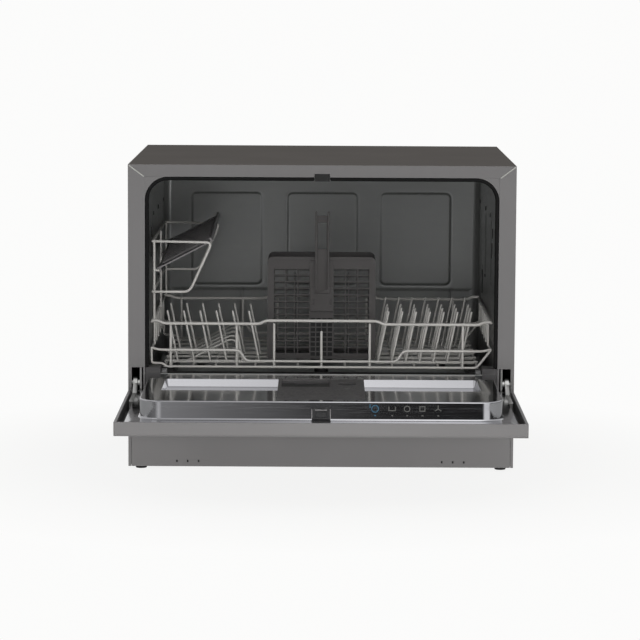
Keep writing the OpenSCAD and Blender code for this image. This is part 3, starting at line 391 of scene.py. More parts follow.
def cuboid(low, high, place=from_front):
    """Vertices and faces of a box between two corners, put in the frame by place."""
    x, y, z = np.stack([low, high], -1)
    corners = np.stack(np.meshgrid(x, y, z, indexing="ij"), -1).reshape(8, 3)
    faces = np.array([(0, 1, 3, 2), (4, 6, 7, 5), (0, 4, 5, 1), (2, 3, 7, 6), (0, 2, 6, 4), (1, 5, 7, 3)])
    return place(corners), faces


def added(name, parts, finish, node):
    """A small piece, with its own finish, that rides with a CAD node's body."""
    made = mesh_object(name, parts, finish)
    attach(made, body_of[node])


# painted plates fill the mouth's square corners out to the gasket's round ones
mouth_half, mouth_top, mouth_round = 251, 420.5, 33
plate_y, plate_steps = 0.7, 16
turn = np.linspace(0, math.pi / 2, plate_steps + 1)
for side, name in ((-1, "left"), (1, "right")):
    arc = np.stack([mouth_half - mouth_round + mouth_round * np.cos(turn), turn * 0 + plate_y,
                    mouth_top - mouth_round + mouth_round * np.sin(turn)], -1)
    plate = np.vstack([arc, (mouth_half + 0.5, plate_y, mouth_top + 0.5)]) * (side, 1, 1)
    fan = np.array([(i, i - 1, plate_steps + 1) for i in range(plate_steps, 0, -1)])
    if side < 0:
        fan = fan[:, [1, 0, 2]]
    added("mouth_corner_" + name, [(from_front(plate), fan)], body_paint, "top_panel")

# a folded edge runs along each mitre, from the outer corner to the mouth's; its paint is lighter than the body's,
# a painted highlight where the fold catches the light
painted_highlight_edge = satin_paint("painted_highlight_edge", (0.62, 0.62, 0.6))
fold_half, fold_rise = 0.9, 0.5
for side, name in ((-1, "left"), (1, "right")):
    start, end = np.array([side * 273.8, 436.6]), np.array([side * 252.4, 420.6])
    across = np.array([end[1] - start[1], start[0] - end[0]])
    across /= np.linalg.norm(across)
    bow = np.linspace(-1, 1, 7)[:, None]
    fold_y = 0.1 - fold_rise * (1 - bow**2)
    ridge = np.stack([np.hstack([place + across * bow * fold_half, fold_y]) for place in (start, end)])
    points, faces = grid_mesh(ridge[:, :, [0, 2, 1]])
    added("mitre_fold_" + name, [(from_front(points), faces[:, ::-1])], painted_highlight_edge, "top_panel")

# painted shade: dark boxes stand for the shade inside the drain notches in the plinth's lower edge
# painted shade: a near-black finish for boxes that stand for the shade inside notches, holes, slots and grid
# openings
painted_shade = new_finish("painted_shade", (0.08, 0.08, 0.08), 0.8)
vary(painted_shade, "Roughness", speckle(painted_shade, 200), 0.7, 0.9)
notch_shades = [cuboid((x - 1.1, -0.25, 12.2), (x + 1.1, 0.4, 15.4))
           for x in (-205.6, -190.2, -174.6, 173, 188.7, 204.5)]
added("plinth_notch_shade", notch_shades, painted_shade, "front_plinth")

# ---- base and feet ----
# A moulded tray closes the machine from below and stands on four rubber feet, of which the front
# two show under the plinth.


def moulded(name, colour, roughness=0.45, grain=0.00002, shine=0.5):
    """Moulded plastic: a fine spark-eroded grain, gloss that wanders and a colour that hardly does."""
    plastic = new_finish(name, colour, roughness, shine=shine)
    vary(plastic, "Base Color", speckle(plastic, 40, 2), 0.96, 1.04)
    vary(plastic, "Roughness", speckle(plastic, 300), roughness - 0.06, roughness + 0.08)
    roughen(plastic, speckle(plastic, 1500, 2), grain)
    return plastic


base_plastic = moulded("base_plastic", (0.2, 0.2, 0.2), 0.5)
foot_rubber = moulded("foot_rubber", (0.13, 0.13, 0.13), 0.7)
eased("base_tray", 0.0006, base_plastic)
eased("feet", 0.0006, foot_rubber)

# ---- tub ----
# One drawn shell of rolled stainless steel. Its collar carries the gasket, its sides have pressed beads
# and rivet dimples, and three pads and a few creases stiffen the back.


def step_up(x, edge, width):
    """0 below edge and 1 over it, by a smooth step of that width: 3t^2 - 2t^3."""
    t = np.clip((x - edge) / width + 0.5, 0, 1)
    return t * t * (3 - 2 * t)


def pad_shape(x, z, middle, half, low, high, radius, width):
    """1 inside a rectangle with round corners, 0 outside, from the distance to its outline."""
    outside_x = np.abs(x - middle) - half + radius
    outside_z = np.abs(z - (low + high) / 2) - (high - low) / 2 + radius
    distance = np.hypot(np.maximum(outside_x, 0), np.maximum(outside_z, 0)) - radius
    distance += np.minimum(np.maximum(outside_x, outside_z), 0)
    return 1 - step_up(distance, 0, width)


def section_of_tub(half, low, high, r_low, r_high, arc_steps=14, flat_steps=24, side_steps=118):
    """Points (x, z) round a tub section, from the floor's middle over the right side and the roof to the
    left side: straight runs joined by quarter circles, the same count for every size."""
    quarter = np.linspace(0, math.pi / 2, arc_steps)
    floor_x = np.linspace(0, half - r_low, flat_steps)[:-1]
    corner_low = [half - r_low + r_low * np.sin(quarter), low + r_low - r_low * np.cos(quarter)]
    side_z = np.linspace(low + r_low, high - r_high, side_steps)[1:-1]
    corner_high = [half - r_high + r_high * np.cos(quarter), high - r_high + r_high * np.sin(quarter)]
    roof_x = np.linspace(half - r_high, 0, flat_steps)[1:]
    right = np.hstack([[floor_x, floor_x * 0 + low], corner_low, [side_z * 0 + half, side_z], corner_high,
                       [roof_x, roof_x * 0 + high]]).T
    left = (right * [-1, 1])[::-1][1:-1]
    return np.vstack([right, left])


def at_depth(flat, depth):
    """Points (x, depth, z) of a section's points (x, z)."""
    return np.stack([flat[..., 0], np.broadcast_to(depth, flat.shape[:-1]), flat[..., 1]], -1)


tub_half, tub_low, tub_high, tub_back = 248.5, 112, 419.5, 420
tub_draft, tub_round = 3.5, 14
floor_round, roof_round = 12, 27.8
sill_z, sill_round = 139.9, 0.01
collar_front, collar_back = 1.5, 15.4

depths = np.concatenate([
    np.linspace(collar_back, 60, 14)[:-1], np.linspace(60, tub_back - tub_round, 128),
    tub_back - tub_round + tub_round * np.sin(np.linspace(0, math.pi / 2, 8))[1:],
])
into_round = np.clip((depths - (tub_back - tub_round)) / tub_round, 0, 1)
draw_in = tub_round * (1 - np.sqrt(1 - into_round**2)) + tub_draft * depths / tub_back
loops = np.stack([
    section_of_tub(tub_half - inset, tub_low + max(inset - tub_draft, 0), tub_high - inset,
                   floor_round, roof_round)
    for inset in draw_in
])
ring = at_depth(loops, depths[:, None])

# beads stand into the tub, dimples go out of it; each is a bump on the side walls by depth and height
wall_beads = [(122, 262, 352, 3.4, 1.4), (245, 262, 352, 3.4, 1.4), (310, 150, 214, 5, -1.6),
              (352, 130, 372, 5, 1.2)]
wall_dimples = [(122, 359, 3.0), (245, 359, 3.0), (385, 359, 3.0), (245, 258, 2.6), (122, 258, 2.6)]
dimple_depth = 3
slot_y, slot_low, slot_high, slot_half, slot_depth = 318, 222, 262, 3.2, 4
y, z = ring[..., 1], ring[..., 2]
on_side = (np.abs(ring[..., 0]) > tub_half - 8) & (z > tub_low + 14)
push = np.zeros(y.shape)
for bead_y, bead_low, bead_high, bead_w, bead_h in wall_beads:
    across_bead = np.exp(-(((y - bead_y) / bead_w) ** 2) * 2)
    push += bead_h * across_bead * step_up(z, bead_low, 8) * (1 - step_up(z, bead_high, 8))
for hole_y, hole_z, hole_r in wall_dimples:
    push -= dimple_depth * (1 - step_up(np.hypot(y - hole_y, z - hole_z), hole_r, 1.6))
beyond = np.maximum(np.abs(z - (slot_low + slot_high) / 2) - (slot_high - slot_low) / 2, 0)
push -= slot_depth * (1 - step_up(np.hypot(y - slot_y, beyond), slot_half, 1.6))
ring[..., 0] -= np.sign(ring[..., 0]) * push * on_side

# a collar leads from the gasket's line into the shell
mouth = section_of_tub(mouth_half, sill_z, mouth_top, sill_round, mouth_round)
mouth_middle = np.array([0, (sill_z + mouth_top) / 2])
mouth_reach = np.array([mouth_half, (mouth_top - sill_z) / 2])
collar = np.stack([
    at_depth((mouth - mouth_middle) * (1 + grow / mouth_reach) + mouth_middle, depth)
    for depth, grow in ((collar_front, 0.8), (collar_front, 0.4), (collar_front + 0.4, 0), (collar_back, 0))
])
shell = np.concatenate([collar, ring])
walls = grid_mesh(shell.transpose(1, 0, 2), around=True)

# the floor is cut away over the sump, where the filter plate lies
sump_y, sump_r = 150, 48
centres = walls[0][walls[1]].mean(1)
open_sump = (np.hypot(centres[:, 0], centres[:, 1] - sump_y) < sump_r) & (centres[:, 2] < tub_low + 2)
walls = (from_front(walls[0]), walls[1][~open_sump])

# the back: raised pads with a groove round each, creases below, and a ledge under the pads
pad_half, pad_low, pad_high, pad_height, groove_depth = 54.5, 225, 368, 1.5, 0.7
crease_top, crease_depth = 218, 0.9
ledge_z, ledge_height = 217, 1.1
back_half = tub_half - tub_draft - 10
x, z = np.meshgrid(np.linspace(-back_half, back_half, 300), np.linspace(tub_low + 8, tub_high - 12, 190),
                   indexing="ij")
relief = np.zeros(x.shape)
for pad_x in (-148, 1, 146):
    relief += pad_height * pad_shape(x, z, pad_x, pad_half, pad_low, pad_high, 8, 4)
    around_pad = pad_shape(x, z, pad_x, pad_half + 1.6, pad_low - 1.6, pad_high + 1.6, 9, 2.4)
    on_pad = pad_shape(x, z, pad_x, pad_half - 0.4, pad_low + 0.4, pad_high - 0.4, 8, 2.4)
    relief -= groove_depth * (around_pad - on_pad)
for crease_x in (-217, -124, 203):
    relief -= crease_depth * np.exp(-(((x - crease_x) / 1.8) ** 2)) * (1 - step_up(z, crease_top, 6))
relief += ledge_height * step_up(z, ledge_z, 4)
points, faces = grid_mesh(np.stack([x, tub_back + 0.4 - relief, z], -1))
back_wall = (from_front(points), faces)


def rolled_steel(name, colour, roughness, grain=(1, 30, 30), metallic=1.0):
    """Stainless sheet: a metal whose gloss and fine relief run in long rolling lines."""
    sheet = new_finish(name, colour, roughness, metallic)
    vary(sheet, "Base Color", speckle(sheet, 3, 2), 0.94, 1.06)
    vary(sheet, "Roughness", speckle(sheet, 26, 3, grain), roughness - 0.05, roughness + 0.06)
    roughen(sheet, speckle(sheet, 70, 3, grain), 0.0000012)
    return sheet


tub_steel = rolled_steel("tub_steel", (0.62, 0.625, 0.62), 0.36, (1, 6, 6), 0.88)
tub = mesh_object("tub_shell", [walls], tub_steel, smooth_to=50)
tub_rear = mesh_object("tub_rear_wall", [back_wall], tub_steel, smooth_to=50)
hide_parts("tub")
for shown in (tub, tub_rear):
    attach(shown, body_of["tub"])

# painted shade: dark boxes stand for the shade in the side walls' rivet holes and slots
marks = [(122, 356, 362), (245, 356, 362), (385, 356, 362), (245, 256, 260), (318, 224, 260),
         (60, 330, 344), (72, 300, 322)]
mark_x, mark_half = tub_half - 3.2, 2.4
hole_shade_boxes = [
    cuboid((side * mark_x - 0.5, mark_y - mark_half, low), (side * mark_x + 0.5, mark_y + mark_half, high))
    for side in (-1, 1) for mark_y, low, high in marks
]
added("tub_wall_hole_shade", hole_shade_boxes, painted_shade, "tub")

# ---- gasket, sill and strike ----
# A soft black profile lines the mouth on three sides, a flat lip lies on the sill, and the latch's
# strike sits in the gasket's gap at the top.

gasket_rubber = moulded("gasket_rubber", (0.045, 0.045, 0.045), 0.75, shine=0.25)
black_plastic = moulded("black_plastic", (0.085, 0.085, 0.085), 0.4)
eased("tub_gasket", 0.0019, gasket_rubber)
eased("sill_seal", 0.0005, gasket_rubber)
eased("latch_strike", 0.0004, black_plastic)

# ---- rails and rollers ----
# Each lower corner of the mouth has a plastic block with a roller, and behind it the rail that the
# rack's runner wires slide on.

grey_plastic = moulded("grey_plastic", (0.27, 0.265, 0.265))
roller_plastic = moulded("roller_plastic", (0.4, 0.4, 0.4), 0.35)
eased("rack_rails", 0.0005, grey_plastic)
for side in ("left", "right"):
    eased("rack_roller_" + side, 0.0004, roller_plastic)

# ---- washing system ----
# The spray arm turns on its hub over the filter; the pumps, the heater, the board and the valve are
# under the tub, behind the plinth.

pump_plastic = moulded("pump_plastic", (0.3, 0.3, 0.31))
filter_plastic = moulded("filter_plastic", (0.5, 0.51, 0.53))
valve_plastic = moulded("valve_plastic", (0.86, 0.86, 0.85), 0.4)
zinc_steel = rolled_steel("zinc_steel", (0.72, 0.72, 0.71), 0.36, (8, 8, 8))
circuit_board = moulded("circuit_board", (0.12, 0.34, 0.2), 0.3)
arm_steel = rolled_steel("arm_steel", (0.56, 0.56, 0.56), 0.3)
eased("spray_arm", 0.0008, arm_steel)
eased("spray_hub", 0.0003, grey_plastic)
dress("filter_plate", arm_steel)
dress("fine_filter", filter_plastic)
dress("float_cup", filter_plastic)
dress("sump", base_plastic)
dress("circulation_impeller", roller_plastic)
dress("heater", zinc_steel)
dress("inlet_valve", valve_plastic)
dress("control_board", circuit_board)
dress("cord_gland", gasket_rubber)
for node in ("circulation_pump", "drain_pump", "drain_port"):
    dress(node, pump_plastic)

# ---- hinges ----
# A plated bracket on each side of the base holds the pin that the door's arm turns on; both show in
# the dark gap beside the rack's block.

eased("hinge_brackets", 0.0003, zinc_steel)
for side in ("left", "right"):
    eased("hinge_arm_" + side, 0.0004, zinc_steel)

# ---- door panel ----
# The painted outer pan: a flat front with turned edges, which lies under the liner when the door is
# let down.

eased("door_panel", 0.0014, body_paint)

# ---- door liner ----
# A deep pressing of bright stainless steel with a flat top, a dished tray each side of the dispenser,
# corners cut back for the rack's rollers, and a flange that the outer panel is folded round.

hinge = next(joint for joint in frame["joints"] if joint["name"] == "door_hinge")
hinge_y, hinge_z = (hinge["pos_m"][1] - front_plane) * 1000, hinge["pos_m"][2] * 1000


def on_door(points):
    """Points in millimetres on the shut door, put in the frame a quarter turn down about the hinge pins."""
    x, y, z = np.moveaxis(np.asarray(points, float), -1, 0)
    return from_front(np.stack([x, hinge_y - (z - hinge_z), hinge_z + (y - hinge_y)], -1))


def heading(step):
    """The sign of each part of a step along x or z, 0 for what is only rounding."""
    return np.sign(step) * (np.abs(step) > 1e-6)


def outline(corners, inset, arc_steps=12):
    """Points (x, z) round a square-cornered outline moved in by inset. Each corner is (x, z, in_x, in_z,
    radius, turn): a quarter circle of radius - turn * inset, or one point where the radius is 0."""
    moved = [np.array([x + in_x * inset, z + in_z * inset]) for x, z, in_x, in_z, _, _ in corners]
    angle = np.linspace(0, math.pi / 2, arc_steps)[:, None]
    points = []
    for index, (*_, radius, turn) in enumerate(corners):
        place = moved[index]
        if radius == 0:
            points.append(place[None])
            continue
        size = max(radius - turn * inset, 0.05)
        come = heading(place - moved[index - 1])
        go = heading(moved[(index + 1) % len(corners)] - place)
        points.append(place - come * size * (1 - np.sin(angle)) + go * size * (1 - np.cos(angle)))
    return np.vstack(points)


def pressing(corners, profile):
    """Loops of an outline through a profile of (inset, height) pairs, as a band of (x, height, z)."""
    loops = np.stack([outline(corners, inset) for inset, height in profile])
    return at_depth(loops, np.array([[height] for inset, height in profile]))


def quarter_bend(start, end, bulge, steps=6):
    """Points (inset, height) on a quarter ellipse between two places, which bends towards bulge."""
    t = np.linspace(0, math.pi / 2, steps)[:, None]
    start, end, bulge = (np.array(place, float) for place in (start, end, bulge))
    return bulge + (start - bulge) * (1 - np.sin(t)) + (end - bulge) * (1 - np.cos(t))


liner_half, liner_low, liner_high = 243.4, 143.4, 411.9
liner_top_y, flange_y = 24.5, -1.2
notch_x, notch_z = 219.5, 188.4
bolt_gap, bolt_low, bolt_high = 12.3, 0.5, 15.3
edge_round, foot_round = 1.7, 2.6
liner_corners = [
    (-notch_x, liner_low, 1, 1, 6, 1), (notch_x, liner_low, -1, 1, 6, 1), (notch_x, notch_z, -1, 1, 4, -1),
    (liner_half, notch_z, -1, 1, 6, 1), (liner_half, liner_high, -1, -1, 31, 1),
    (bolt_gap, liner_high, 0, -1, 0, 0), (-bolt_gap, liner_high, 0, -1, 0, 0),
    (-liner_half, liner_high, 1, -1, 31, 1), (-liner_half, notch_z, 1, 1, 6, 1),
    (-notch_x, notch_z, 1, 1, 4, -1),
]
wall_profile = np.vstack([
    quarter_bend((-foot_round, flange_y), (0, flange_y + foot_round), (0, flange_y)),
    [(0, bolt_high), (0, liner_top_y - edge_round - 0.5)],
    quarter_bend((0, liner_top_y - edge_round), (edge_round, liner_top_y), (0, liner_top_y)),
    [(edge_round + 0.6, liner_top_y)],
])
rim_band = pressing(liner_corners, wall_profile)

tray_x, tray_low, tray_high, tray_r, draft = notch_x, 194.4, 310.4, 6, 2.4
tray_y = liner_top_y - 11
dispenser_half, dispenser_high = 59.9, 395.9
tray_corners = [
    (-tray_x, tray_low, 1, 1, tray_r, 1), (-dispenser_half, tray_low, 0, 1, 0, 0),
    (dispenser_half, tray_low, 0, 1, 0, 0), (tray_x, tray_low, -1, 1, tray_r, 1),
    (tray_x, tray_high, -1, -1, tray_r, 1), (dispenser_half, tray_high, 0, -1, 0, 0),
    (-dispenser_half, tray_high, 0, -1, 0, 0), (-tray_x, tray_high, 1, -1, tray_r, 1),
]
tray_profile = np.vstack([
    [(-0.6, liner_top_y)],
    quarter_bend((0, liner_top_y), (1.4, liner_top_y - 1.4), (1.4, liner_top_y)),
    [(1.4 + draft, tray_y + 1.6)],
    quarter_bend((1.5 + draft, tray_y + 1.4), (3 + draft, tray_y), (1.6 + draft, tray_y)),
])
tray_band = pressing(tray_corners, tray_profile)


def flat_sheet(height, outer, holes=()):
    """A flat sheet in x and z inside the outer loop and outside the holes, as triangles at that height."""
    loops = [np.asarray(outer), *(np.asarray(hole) for hole in holes)]
    points, edges, start = [], [], 0
    for loop in loops:
        count = len(loop)
        points.extend(Vector(p) for p in loop)
        edges.extend((start + i, start + (i + 1) % count) for i in range(count))
        start += count
    inner_only, everything = 1, 0
    wanted = everything if holes else inner_only
    flat, _, triangles, _, _, _ = delaunay_2d_cdt(points, edges, [], wanted, 1e-5)
    flat = np.array([tuple(p) for p in flat])
    triangles = np.array(triangles)
    middle = flat[triangles].mean(1)

    def inside(loop):
        """Whether each triangle's middle lies within a loop, by counting crossings of a line along x."""
        a, b = loop, np.roll(loop, -1, 0)
        z = middle[:, 1, None]
        crosses = (a[:, 1] > z) != (b[:, 1] > z)
        rise = np.where(b[:, 1] == a[:, 1], 1e-9, b[:, 1] - a[:, 1])
        at = a[:, 0] + (z - a[:, 1]) * (b[:, 0] - a[:, 0]) / rise
        return (crosses & (middle[:, 0, None] < at)).sum(1) % 2 == 1

    keep = inside(loops[0])
    for hole in loops[1:]:
        keep &= ~inside(hole)
    return at_depth(flat, height), triangles[keep]


# the tray and the dispenser make one opening, like a cross
tray_edge = tray_band[0][:, [0, 2]]
left_edge = tray_edge[tray_edge[:, 0] < -dispenser_half - 1]
right_edge = tray_edge[tray_edge[:, 0] > dispenser_half + 1]
tray_middle = 252
right_edge = right_edge[np.argsort(np.arctan2(right_edge[:, 1] - tray_middle, right_edge[:, 0]))]
left_edge = left_edge[np.argsort(np.arctan2(left_edge[:, 1] - tray_middle, -left_edge[:, 0]))][::-1]
opening = np.vstack([
    right_edge, [(dispenser_half, tray_high + 0.6), (dispenser_half, dispenser_high),
                 (-dispenser_half, dispenser_high), (-dispenser_half, tray_high + 0.6)], left_edge,
])
top_sheet = flat_sheet(liner_top_y, rim_band[-1][:, [0, 2]], [opening])
tray_floor = flat_sheet(tray_y, tray_band[-1][:, [0, 2]])

flange_half, flange_low, flange_high = 261, 139.3, 433.7
flange_edge = [(-flange_half, flange_low), (flange_half, flange_low), (flange_half, flange_high),
               (-flange_half, flange_high)]
flange_sheet = flat_sheet(flange_y, flange_edge, [rim_band[0][:, [0, 2]]])


def keep_outside(part, low, high):
    """A part without the faces whose middle lies in the box between two corners."""
    points, faces = part
    middle = points[faces].mean(1)
    return points, faces[~np.all((middle > low) & (middle < high), axis=1)]


# the rim opens for the latch's bolt, and the tray's walls for the dispenser
band = keep_outside(grid_mesh(rim_band.transpose(1, 0, 2), around=True),
                    (-bolt_gap, bolt_low - 2, liner_high - 2), (bolt_gap, bolt_high, liner_high + 1))
tray = keep_outside(grid_mesh(tray_band.transpose(1, 0, 2), around=True),
                    (-dispenser_half - 0.1, -40, 0), (dispenser_half + 0.1, 60, 600))
liner_parts = [(on_door(points), faces[:, ::-1])
               for points, faces in (band, tray, top_sheet, tray_floor, flange_sheet)]
liner_steel = rolled_steel("liner_steel", (0.66, 0.66, 0.67), 0.1)
liner = mesh_object("door_liner_pressing", liner_parts, liner_steel, smooth_to=50)
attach(liner, body_of["door_liner"])
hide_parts("door_liner")

# ---- dispenser ----
# A grey moulding in the middle of the door: a lid that slides back over the detergent well, a round
# rinse aid cap and the lid's catch.

lid_plastic = moulded("lid_plastic", (0.12, 0.118, 0.12), 0.5)
dispenser_plastic = moulded("dispenser_plastic", (0.3, 0.293, 0.293), 0.4)
eased("dispenser_body", 0.0008, dispenser_plastic)
eased("detergent_lid", 0.0005, lid_plastic)
eased("rinse_aid_cap", 0.0005, lid_plastic)
eased("lid_catch", 0.0003, roller_plastic)

# ---- latch and symbols ----
# The latch's case and bolt at the door's upper edge, with a rib each side and a lip, and the printed
# marks beside them.

latch_plastic = moulded("latch_plastic", (0.15, 0.15, 0.152), 0.4)
symbol_print = moulded("symbol_print", (0.3, 0.3, 0.29), 0.5)
# the first symbol is blue
second_tone(symbol_print, "Object", "X", 0.084, (0.14, 0.29, 0.37))
eased("latch_case", 0.0004, latch_plastic)
eased("latch_bolt", 0.0004, latch_plastic)
dress("program_symbols", symbol_print)
ribs = [cuboid((-12.9, 1.2, 411.9), (-11.7, 14.2, 412.7), on_door),
        cuboid((11.7, 1.2, 411.9), (12.9, 14.2, 412.7), on_door),
        cuboid((-8, 12.6, 412.9), (8, 13.9, 413.3), on_door)]
added("latch_ribs", ribs, body_paint, "latch_case")

# ---- controls and grip ----
# The door's outer face carries a dark fascia with a display window, four buttons, and the recessed
# grip under it.

fascia_plastic = moulded("fascia_plastic", (0.2, 0.2, 0.205), 0.35)
display_lens = moulded("display_lens", (0.04, 0.042, 0.045), 0.08, 0.0)
button_plastic = moulded("button_plastic", (0.62, 0.62, 0.62), 0.3)
eased("control_fascia", 0.0006, fascia_plastic)
eased("display_window", 0.0002, display_lens)
eased("handle_cup", 0.0008, black_plastic)
dress("door_board", circuit_board)
for number in range(1, 5):
    eased("button_%d" % number, 0.0004, button_plastic)

# ---- rack ----
# Coated wire: a rim, a middle rail and a base rail on the two ends, tied by hoops, runners and cross
# wires, with rows of leaning tines.


def curved(points, bend, steps=5):
    """The line through the points with each inner corner rounded: a parabola from bend before the corner
    to bend after it."""
    points = np.asarray(points, float)
    if len(points) == 2:
        return points
    before, corner, after = points[:-2], points[1:-1], points[2:]

    def leg(ends):
        """Steps from the corners towards the ends, no longer than bend or nearly half the way."""
        step = ends - corner
        size = np.linalg.norm(step, axis=1, keepdims=True)
        return step / size * np.minimum(bend, size * 0.45)

    t = np.linspace(0, 1, steps)[None, :, None]
    arcs = corner[:, None] + leg(before)[:, None] * (1 - t) ** 2 + leg(after)[:, None] * t**2
    return np.vstack([points[:1], arcs.reshape(-1, 3), points[-1:]])


def wire(points, radius, bend=6.0, sides=12, dome_steps=4):
    """A round wire of one flat bent line, in millimetres: circles carried along it, with domed ends."""
    line = curved(points, bend)
    run = np.diff(line, axis=0)
    run /= np.linalg.norm(run, axis=1, keepdims=True)
    ahead = np.vstack([run[:1], run[:-1] + run[1:], run[-1:]])
    ahead /= np.linalg.norm(ahead, axis=1, keepdims=True)
    # the flat line's own normal stays across the wire all along it
    flat = np.linalg.svd(line - line.mean(0))[2][2]
    rise = np.linspace(math.pi / 2, 0, dome_steps)[:, None]
    inward = radius * (1 - np.sin(rise))
    centres = np.vstack([line[0] + ahead[0] * inward, line[1:-1], (line[-1] - ahead[-1] * inward)[::-1]])
    ahead = np.vstack([ahead[:1].repeat(dome_steps, 0), ahead[1:-1], ahead[-1:].repeat(dome_steps, 0)])
    swell = np.concatenate([np.cos(rise[:, 0]), np.ones(len(line) - 2), np.cos(rise[::-1, 0])]) * radius
    across = np.cross(ahead, flat)
    across /= np.linalg.norm(across, axis=1, keepdims=True)
    up = np.cross(across, ahead)
    angle = np.linspace(2 * math.pi, 0, sides, endpoint=False)[:, None, None]
    return grid_mesh(centres + swell[:, None] * (np.cos(angle) * across + np.sin(angle) * up), around=True)


def wire_work(name, wires, finish, *nodes):
    """One piece of bent wires, which stands for the CAD nodes named after it."""
    made = mesh_object(name, [(from_front(points), faces) for points, faces in wires], finish, smooth_to=60)
    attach(made, body_of[nodes[0]])
    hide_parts(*nodes)


rack_coating = new_finish("rack_coating", (0.68, 0.672, 0.655), 0.36)
vary(rack_coating, "Base Color", speckle(rack_coating, 30, 2), 0.93, 1.05)
vary(rack_coating, "Roughness", speckle(rack_coating, 200), 0.3, 0.44)
roughen(rack_coating, speckle(rack_coating, 700, 2), 0.00003)

rack_half, rack_front, rack_back = 243.8, 28.2, 363.2
rim_z, rim_dip, rail_z, rail_dip, base_z, cross_z = 212.3, 208.4, 170.3, 154.6, 146.3, 148.5
rail_wires = []
for y in (rack_front, rack_back):
    rim_half = [(80, rim_z + 0.8), (88, rim_dip), (225.8, rim_dip), (232.8, rim_z), (rack_half, rim_z)]
    rail_half = [(108, rail_dip), (117, rail_z), (232.8, rail_z), (rack_half, rail_z + 3.5)]
    for half_line, radius, bend in ((rim_half, 2.1, 5), (rail_half, 1.8, 7)):
        flat_line = [(-x, z) for x, z in half_line[::-1]] + half_line
        rail_wires.append(wire([(x, y, z) for x, z in flat_line], radius, bend))
    base_line = [(-243.3, 174.7), (-243.3, 151), (-226.8, 151), (-222.8, base_z), (222.8, base_z),
                 (243.3, 172.5)]
    rail_wires.append(wire([(x, y, z) for x, z in base_line], 1.75, 5))
cross_y = [rack_front + row * (rack_back - rack_front) / 7 for row in range(1, 7)]
for side in (-1, 1):
    for z, radius in ((rim_z - 1.4, 1.95), (rail_z + 2, 1.67)):
        rail_wires.append(wire([(side * 242.8, 27, z), (side * 242.8, 364.4, z)], radius))
    for y in cross_y:
        rail_wires.append(wire([(side * 241.6, y, rim_z - 0.5), (side * 241.6, y, rail_z + 1)], 1.53))
wire_work("rack_rim_and_rails", rail_wires, rack_coating, "rack_ends", "rack_sides")

floor_wires = [wire([(0, 30.8, 198.3), (0, 30.8, base_z)], 1.73)]
hoop = [(30.8, 209.6), (30.8, 144), (42.2, 146.15), (349.2, 146.15), (360.6, 144), (360.6, 209.6)]
for x in (-216, -121.4, -67.7, 69.3, 202.6):
    floor_wires.append(wire([(x, y, z) for y, z in hoop], 1.73, 4.5))
for x in (-184, -152, -95, -34, 34, 102, 134, 168):
    floor_wires.append(wire([(x, 30.2, 146.15), (x, 361.2, 146.15)], 1.62))
for x in (-224.5, 224.5):
    floor_wires.append(wire([(x, 30.2, base_z), (x, 361.2, base_z)], 1.76))
for y in cross_y:
    floor_wires.append(wire([(-227.5, y, cross_z), (227.5, y, cross_z)], 1.66))
# raised loops hold glasses between the left tines
glass_loop = [(-196, 147.6), (-186, 152), (-131, 180), (-121.4, 174), (-121.4, 147.6)]
for y in cross_y[:5]:
    floor_wires.append(wire([(x, y + 8, z) for x, z in glass_loop], 1.4, 9))
wire_work("rack_floor_wires", floor_wires, rack_coating, "rack_base", "rack_uprights")

tine_low, tine_high, tine_lean = 147.3, 222.3, 15.5
tine_wires = []
for rows, side, first_x, pitch, count in (((0, 2), -1, -207.6, 23.6, 6), ((0, 1, 2, 4), 1, 81.8, 20, 7)):
    tie_ends = (-219.8, -79.8) if side < 0 else (77.8, 221.8)
    for row in rows:
        y = cross_y[row] - 2.6
        for place in range(count):
            x = first_x + place * pitch
            tine_wires.append(wire([(x, y, tine_low), (x + side * tine_lean, y, tine_high)], 1.5))
        tine_wires.append(wire([(x, y, tine_low) for x in tie_ends], 1.65))
wire_work("rack_tine_rows", tine_wires, rack_coating, "rack_tines")

# ---- cup shelf ----
# A wire frame on the rack's left side with a slatted plastic shelf that folds up on its pivot wire.

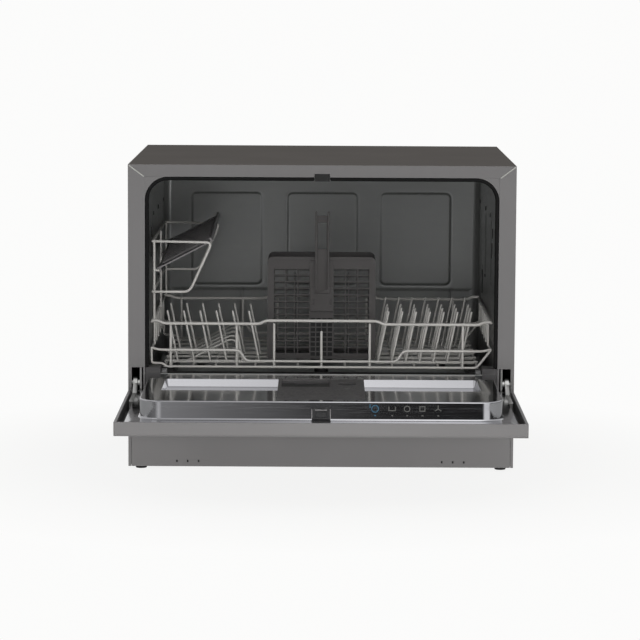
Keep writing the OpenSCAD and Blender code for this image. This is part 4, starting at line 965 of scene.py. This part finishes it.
pivot_tilt, pivot_low = math.radians(2.4), 284.3
end_frame = [(-243.3, 326.3), (-156.8, 324.8), (-188.8, 253.8), (-243.3, 253.8)]


def shelf_post(y):
    """An upright of the shelf's frame and the short wire that ties its foot to the rack's rim."""
    return [wire([(-239.5, y, 210.8), (-239.5, y, 326.3)], 1.71),
            wire([(-243.2, y, 213.3), (-239.3, y, 213.3)], 1.62)]


shelf_wires = []
for y in (30.2, 357.2):
    shelf_wires.append(wire([(x, y, z) for x, z in end_frame], 1.8, 9))
    shelf_wires += shelf_post(y + 1.4)
    pivot_z = pivot_low + math.tan(pivot_tilt) * (y - rack_front)
    shelf_wires.append(wire([(-239.9, y + 1.4, pivot_z), (-232.7, y + 1.4, pivot_z)], 1.53))
shelf_wires += shelf_post(205)
for z in (325.9, 253.4):
    shelf_wires.append(wire([(-241.6, 28.8, z), (-241.6, 358.6, z)], 1.76))
pivot = [(-233.3, 31.2 + reach * math.cos(pivot_tilt), pivot_low + reach * math.sin(pivot_tilt))
         for reach in (-1.6, 327)]
shelf_wires.append(wire(pivot, 1.62))
wire_work("cup_shelf_wires", shelf_wires, rack_coating, "cup_shelf_frame")
shelf_plastic = moulded("shelf_plastic", (0.42, 0.41, 0.41), 0.35)
eased("cup_shelf", 0.0004, shelf_plastic)

# ---- cutlery basket ----
# A meshed plastic basket in the middle of the rack, with a tall handle clipped to its front.

basket_plastic = moulded("basket_plastic", (0.235, 0.227, 0.224), 0.42)
eased("basket_front_wall", 0.0003, basket_plastic)
dress("basket_rear_wall", basket_plastic)
eased("basket_ends", 0.0008, basket_plastic)
eased("basket_dividers", 0.0003, basket_plastic)
eased("basket_handle", 0.0005, basket_plastic)

# the grid runs on across the middle under the clip; its openings are dark boxes of painted shade
shade_cells = [cuboid((x - 3.3, 88.9, z - 2.7), (x + 3.3, 89.6, z + 2.7))
         for x in np.linspace(-12.4, 12.4, 4) for z in np.linspace(157.5, 207.5, 8)]
added("basket_grid_shade", shade_cells, painted_shade, "basket_front_wall")
